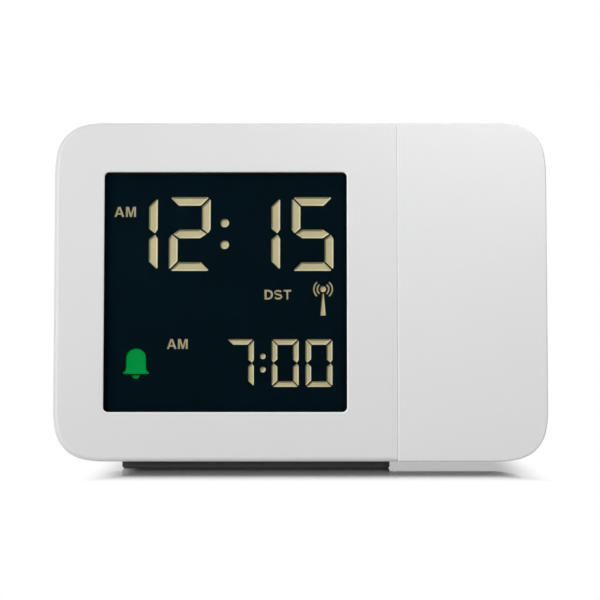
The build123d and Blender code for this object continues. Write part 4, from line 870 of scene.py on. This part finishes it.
solder_mask = moulded("solder_mask", (0.02, 0.16, 0.06), roughness=0.3, tone=0.1)
black_moulding = moulded("black_moulding", (0.02, 0.02, 0.021), roughness=0.45, tone=0.1)
chip_epoxy = moulded("chip_epoxy", (0.015, 0.015, 0.015), roughness=0.5, tone=0.1)
plated_steel = moulded("plated_steel", (0.55, 0.55, 0.55), roughness=0.3, metal=1.0)
sleeve = moulded("capacitor_sleeve", (0.02, 0.03, 0.12), roughness=0.35)
flat_cable = moulded("flat_cable", (0.75, 0.74, 0.70), roughness=0.45)
dress(solder_mask, "main_board", "control_board", "radio_board", "lamp_board")
dress(chip_epoxy, "main_chip")
dress(plated_steel, "quartz_crystal")
dress(sleeve, "board_capacitors")
dress(black_moulding, "tact_switches", "slide_switches", "dial_encoder", "snooze_switch")
dress(black_moulding, "speaker", "dc_jack")
dress(flat_cable, "board_ribbon", "harness_connector")

# ---------------------------------------------------------------- screws, springs and contacts
# Rolled screws, a stamped washer, ring and contacts, and wound springs, all of steel with the same
# bright plating against rust.

dress(
    plated_steel,
    "board_screws",
    "housing_screws",
    "control_board_screws",
    "plate_screws",
    "shaft_screws",
    "optics_screws",
    "battery_contacts",
    "battery_springs",
    "spring_washer",
    "retaining_ring",
)

# ---------------------------------------------------------------- battery, aerial and wires
# Two cells in a plain varnished jacket, a sintered ferrite rod with its coil of enamelled wire,
# and the covered wires that pass through the hollow shaft to the projector section.

cell_jacket = moulded("cell_jacket", (0.05, 0.12, 0.20), roughness=0.3, coat=0.3)
sintered_ferrite = moulded("sintered_ferrite", (0.04, 0.04, 0.045), roughness=0.55)
enamelled_wire = moulded("enamelled_wire", (0.60, 0.25, 0.10), roughness=0.3, metal=0.8)
wire_cover = moulded("wire_cover", (0.03, 0.03, 0.03), roughness=0.5)
dress(cell_jacket, "battery_cells")
dress(sintered_ferrite, "antenna_rod")
dress(enamelled_wire, "antenna_coil")
dress(wire_cover, "projector_harness", "clock_harness")

# ---------------------------------------------------------------- the swivel
# A turned metal shaft, hollow for the wires and screwed to the projector section's side plate,
# runs in a bush of acetal in the housing's wall.

acetal = moulded("acetal", (0.80, 0.80, 0.76), roughness=0.35)
turned_metal = moulded("turned_metal", (0.60, 0.60, 0.60), roughness=0.28, metal=1.0)
dress(acetal, "swivel_bush")
dress(turned_metal, "swivel_shaft")

# ---------------------------------------------------------------- the bead at the seam
# A thin white bead that runs round the clock section at the seam and fills most of the gap, so that
# the seam is a light shallow groove. It clears the projector section, which turns beside it.

face_foot_y = -0.022075
back_foot_y = 0.022430
back_rake = math.radians(3.0)
section_round = 0.0013
section_back_round = 0.008
least_round = 0.0001
section_steps = 12
bead_sink = 0.00003
bead_round = 0.0003
bead_reach = 0.0012
bead_depth = 0.0016
bead_gap = 0.00002
bead_steps = 6
bead_end = shell_low.x - bead_gap


def seam_outline(sink):
    """The outline of the clock section in Y and Z, this far under its surface."""
    corners = []
    for up, way in ((0.0, 1.0), (shell_high.z - shell_low.z, -1.0)):
        height = up + way * sink
        front = face_foot_y + height * math.tan(face_lean) + sink / math.cos(face_lean)
        back = back_foot_y - height * math.tan(back_rake) - sink / math.cos(back_rake)
        corners.append((front, shell_low.z + height, max(least_round, section_round - sink)))
        corners.append((back, shell_low.z + height, section_back_round - sink))
    return rounded([corners[0], corners[1], corners[3], corners[2]], section_steps)


section = [(bead_end - bead_reach, bead_depth), (bead_end - bead_reach, bead_sink)]
for step in range(bead_steps + 1):
    turn = math.pi / 2 * step / bead_steps
    section.append(
        (bead_end - bead_round * (1 - math.sin(turn)), bead_sink + bead_round * (1 - math.cos(turn)))
    )
section.append((bead_end, bead_depth))
bead = bmesh.new()
loops = [[bead.verts.new((x, place.x, place.y)) for place in seam_outline(sink)] for x, sink in section]
for near_loop, far_loop in zip(loops, loops[1:] + loops[:1]):
    for index in range(len(near_loop)):
        bead.faces.new((near_loop[index - 1], near_loop[index], far_loop[index], far_loop[index - 1]))
bmesh.ops.recalc_face_normals(bead, faces=bead.faces)
bead_mesh = bpy.data.meshes.new("seam_bead")
bead.to_mesh(bead_mesh)
bead.free()
bead_mesh.materials.append(white_abs)
seam_bead = bpy.data.objects.new("seam_bead", bead_mesh)
scene.collection.objects.link(seam_bead)
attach(seam_bead, "clock_body")

# ---------------------------------------------------------------- the projector's optics
# A tube, barrel and bezel moulded in black, so that no stray light gets out, with clear polished
# lenses and a small LCD slide between the lamp and the lens.

optical_black = moulded("optical_black", (0.012, 0.012, 0.013), roughness=0.5, tone=0.1)
lens_glass = clear_plastic("lens_glass", tint=(0.98, 0.99, 0.99), roughness=0.005, ior=1.5)
slide_glass = moulded("slide_glass", (0.01, 0.012, 0.016), roughness=0.2)
dress(optical_black, "optics_tube", "lens_barrel", "lens_bezel")
dress(lens_glass, "condenser_lens", "projection_lens", "lens_cover")
dress(slide_glass, "projection_lcd")

# ---------------------------------------------------------------- the controls on the back
# Light grey satin mouldings: the setting dial and the focus wheel, both with a notched rim for the
# finger, and two round buttons and two slide knobs that a flange behind the wall keeps in.

control_grey = moulded("control_grey", (0.50, 0.50, 0.50), roughness=0.42)
dress(control_grey, "set_dial", "time_button", "alarm_button")
dress(control_grey, "alarm_slider", "projection_slider", "focus_wheel")

# ---------------------------------------------------------------- the foot
# One pad of moulded black rubber, set in a recess under the clock section, with a coarser grain
# than the mouldings above it.

foot_rubber = moulded("foot_rubber", (0.070, 0.070, 0.071), roughness=0.75, grain=0.0004)
dress(foot_rubber, "rubber_foot")
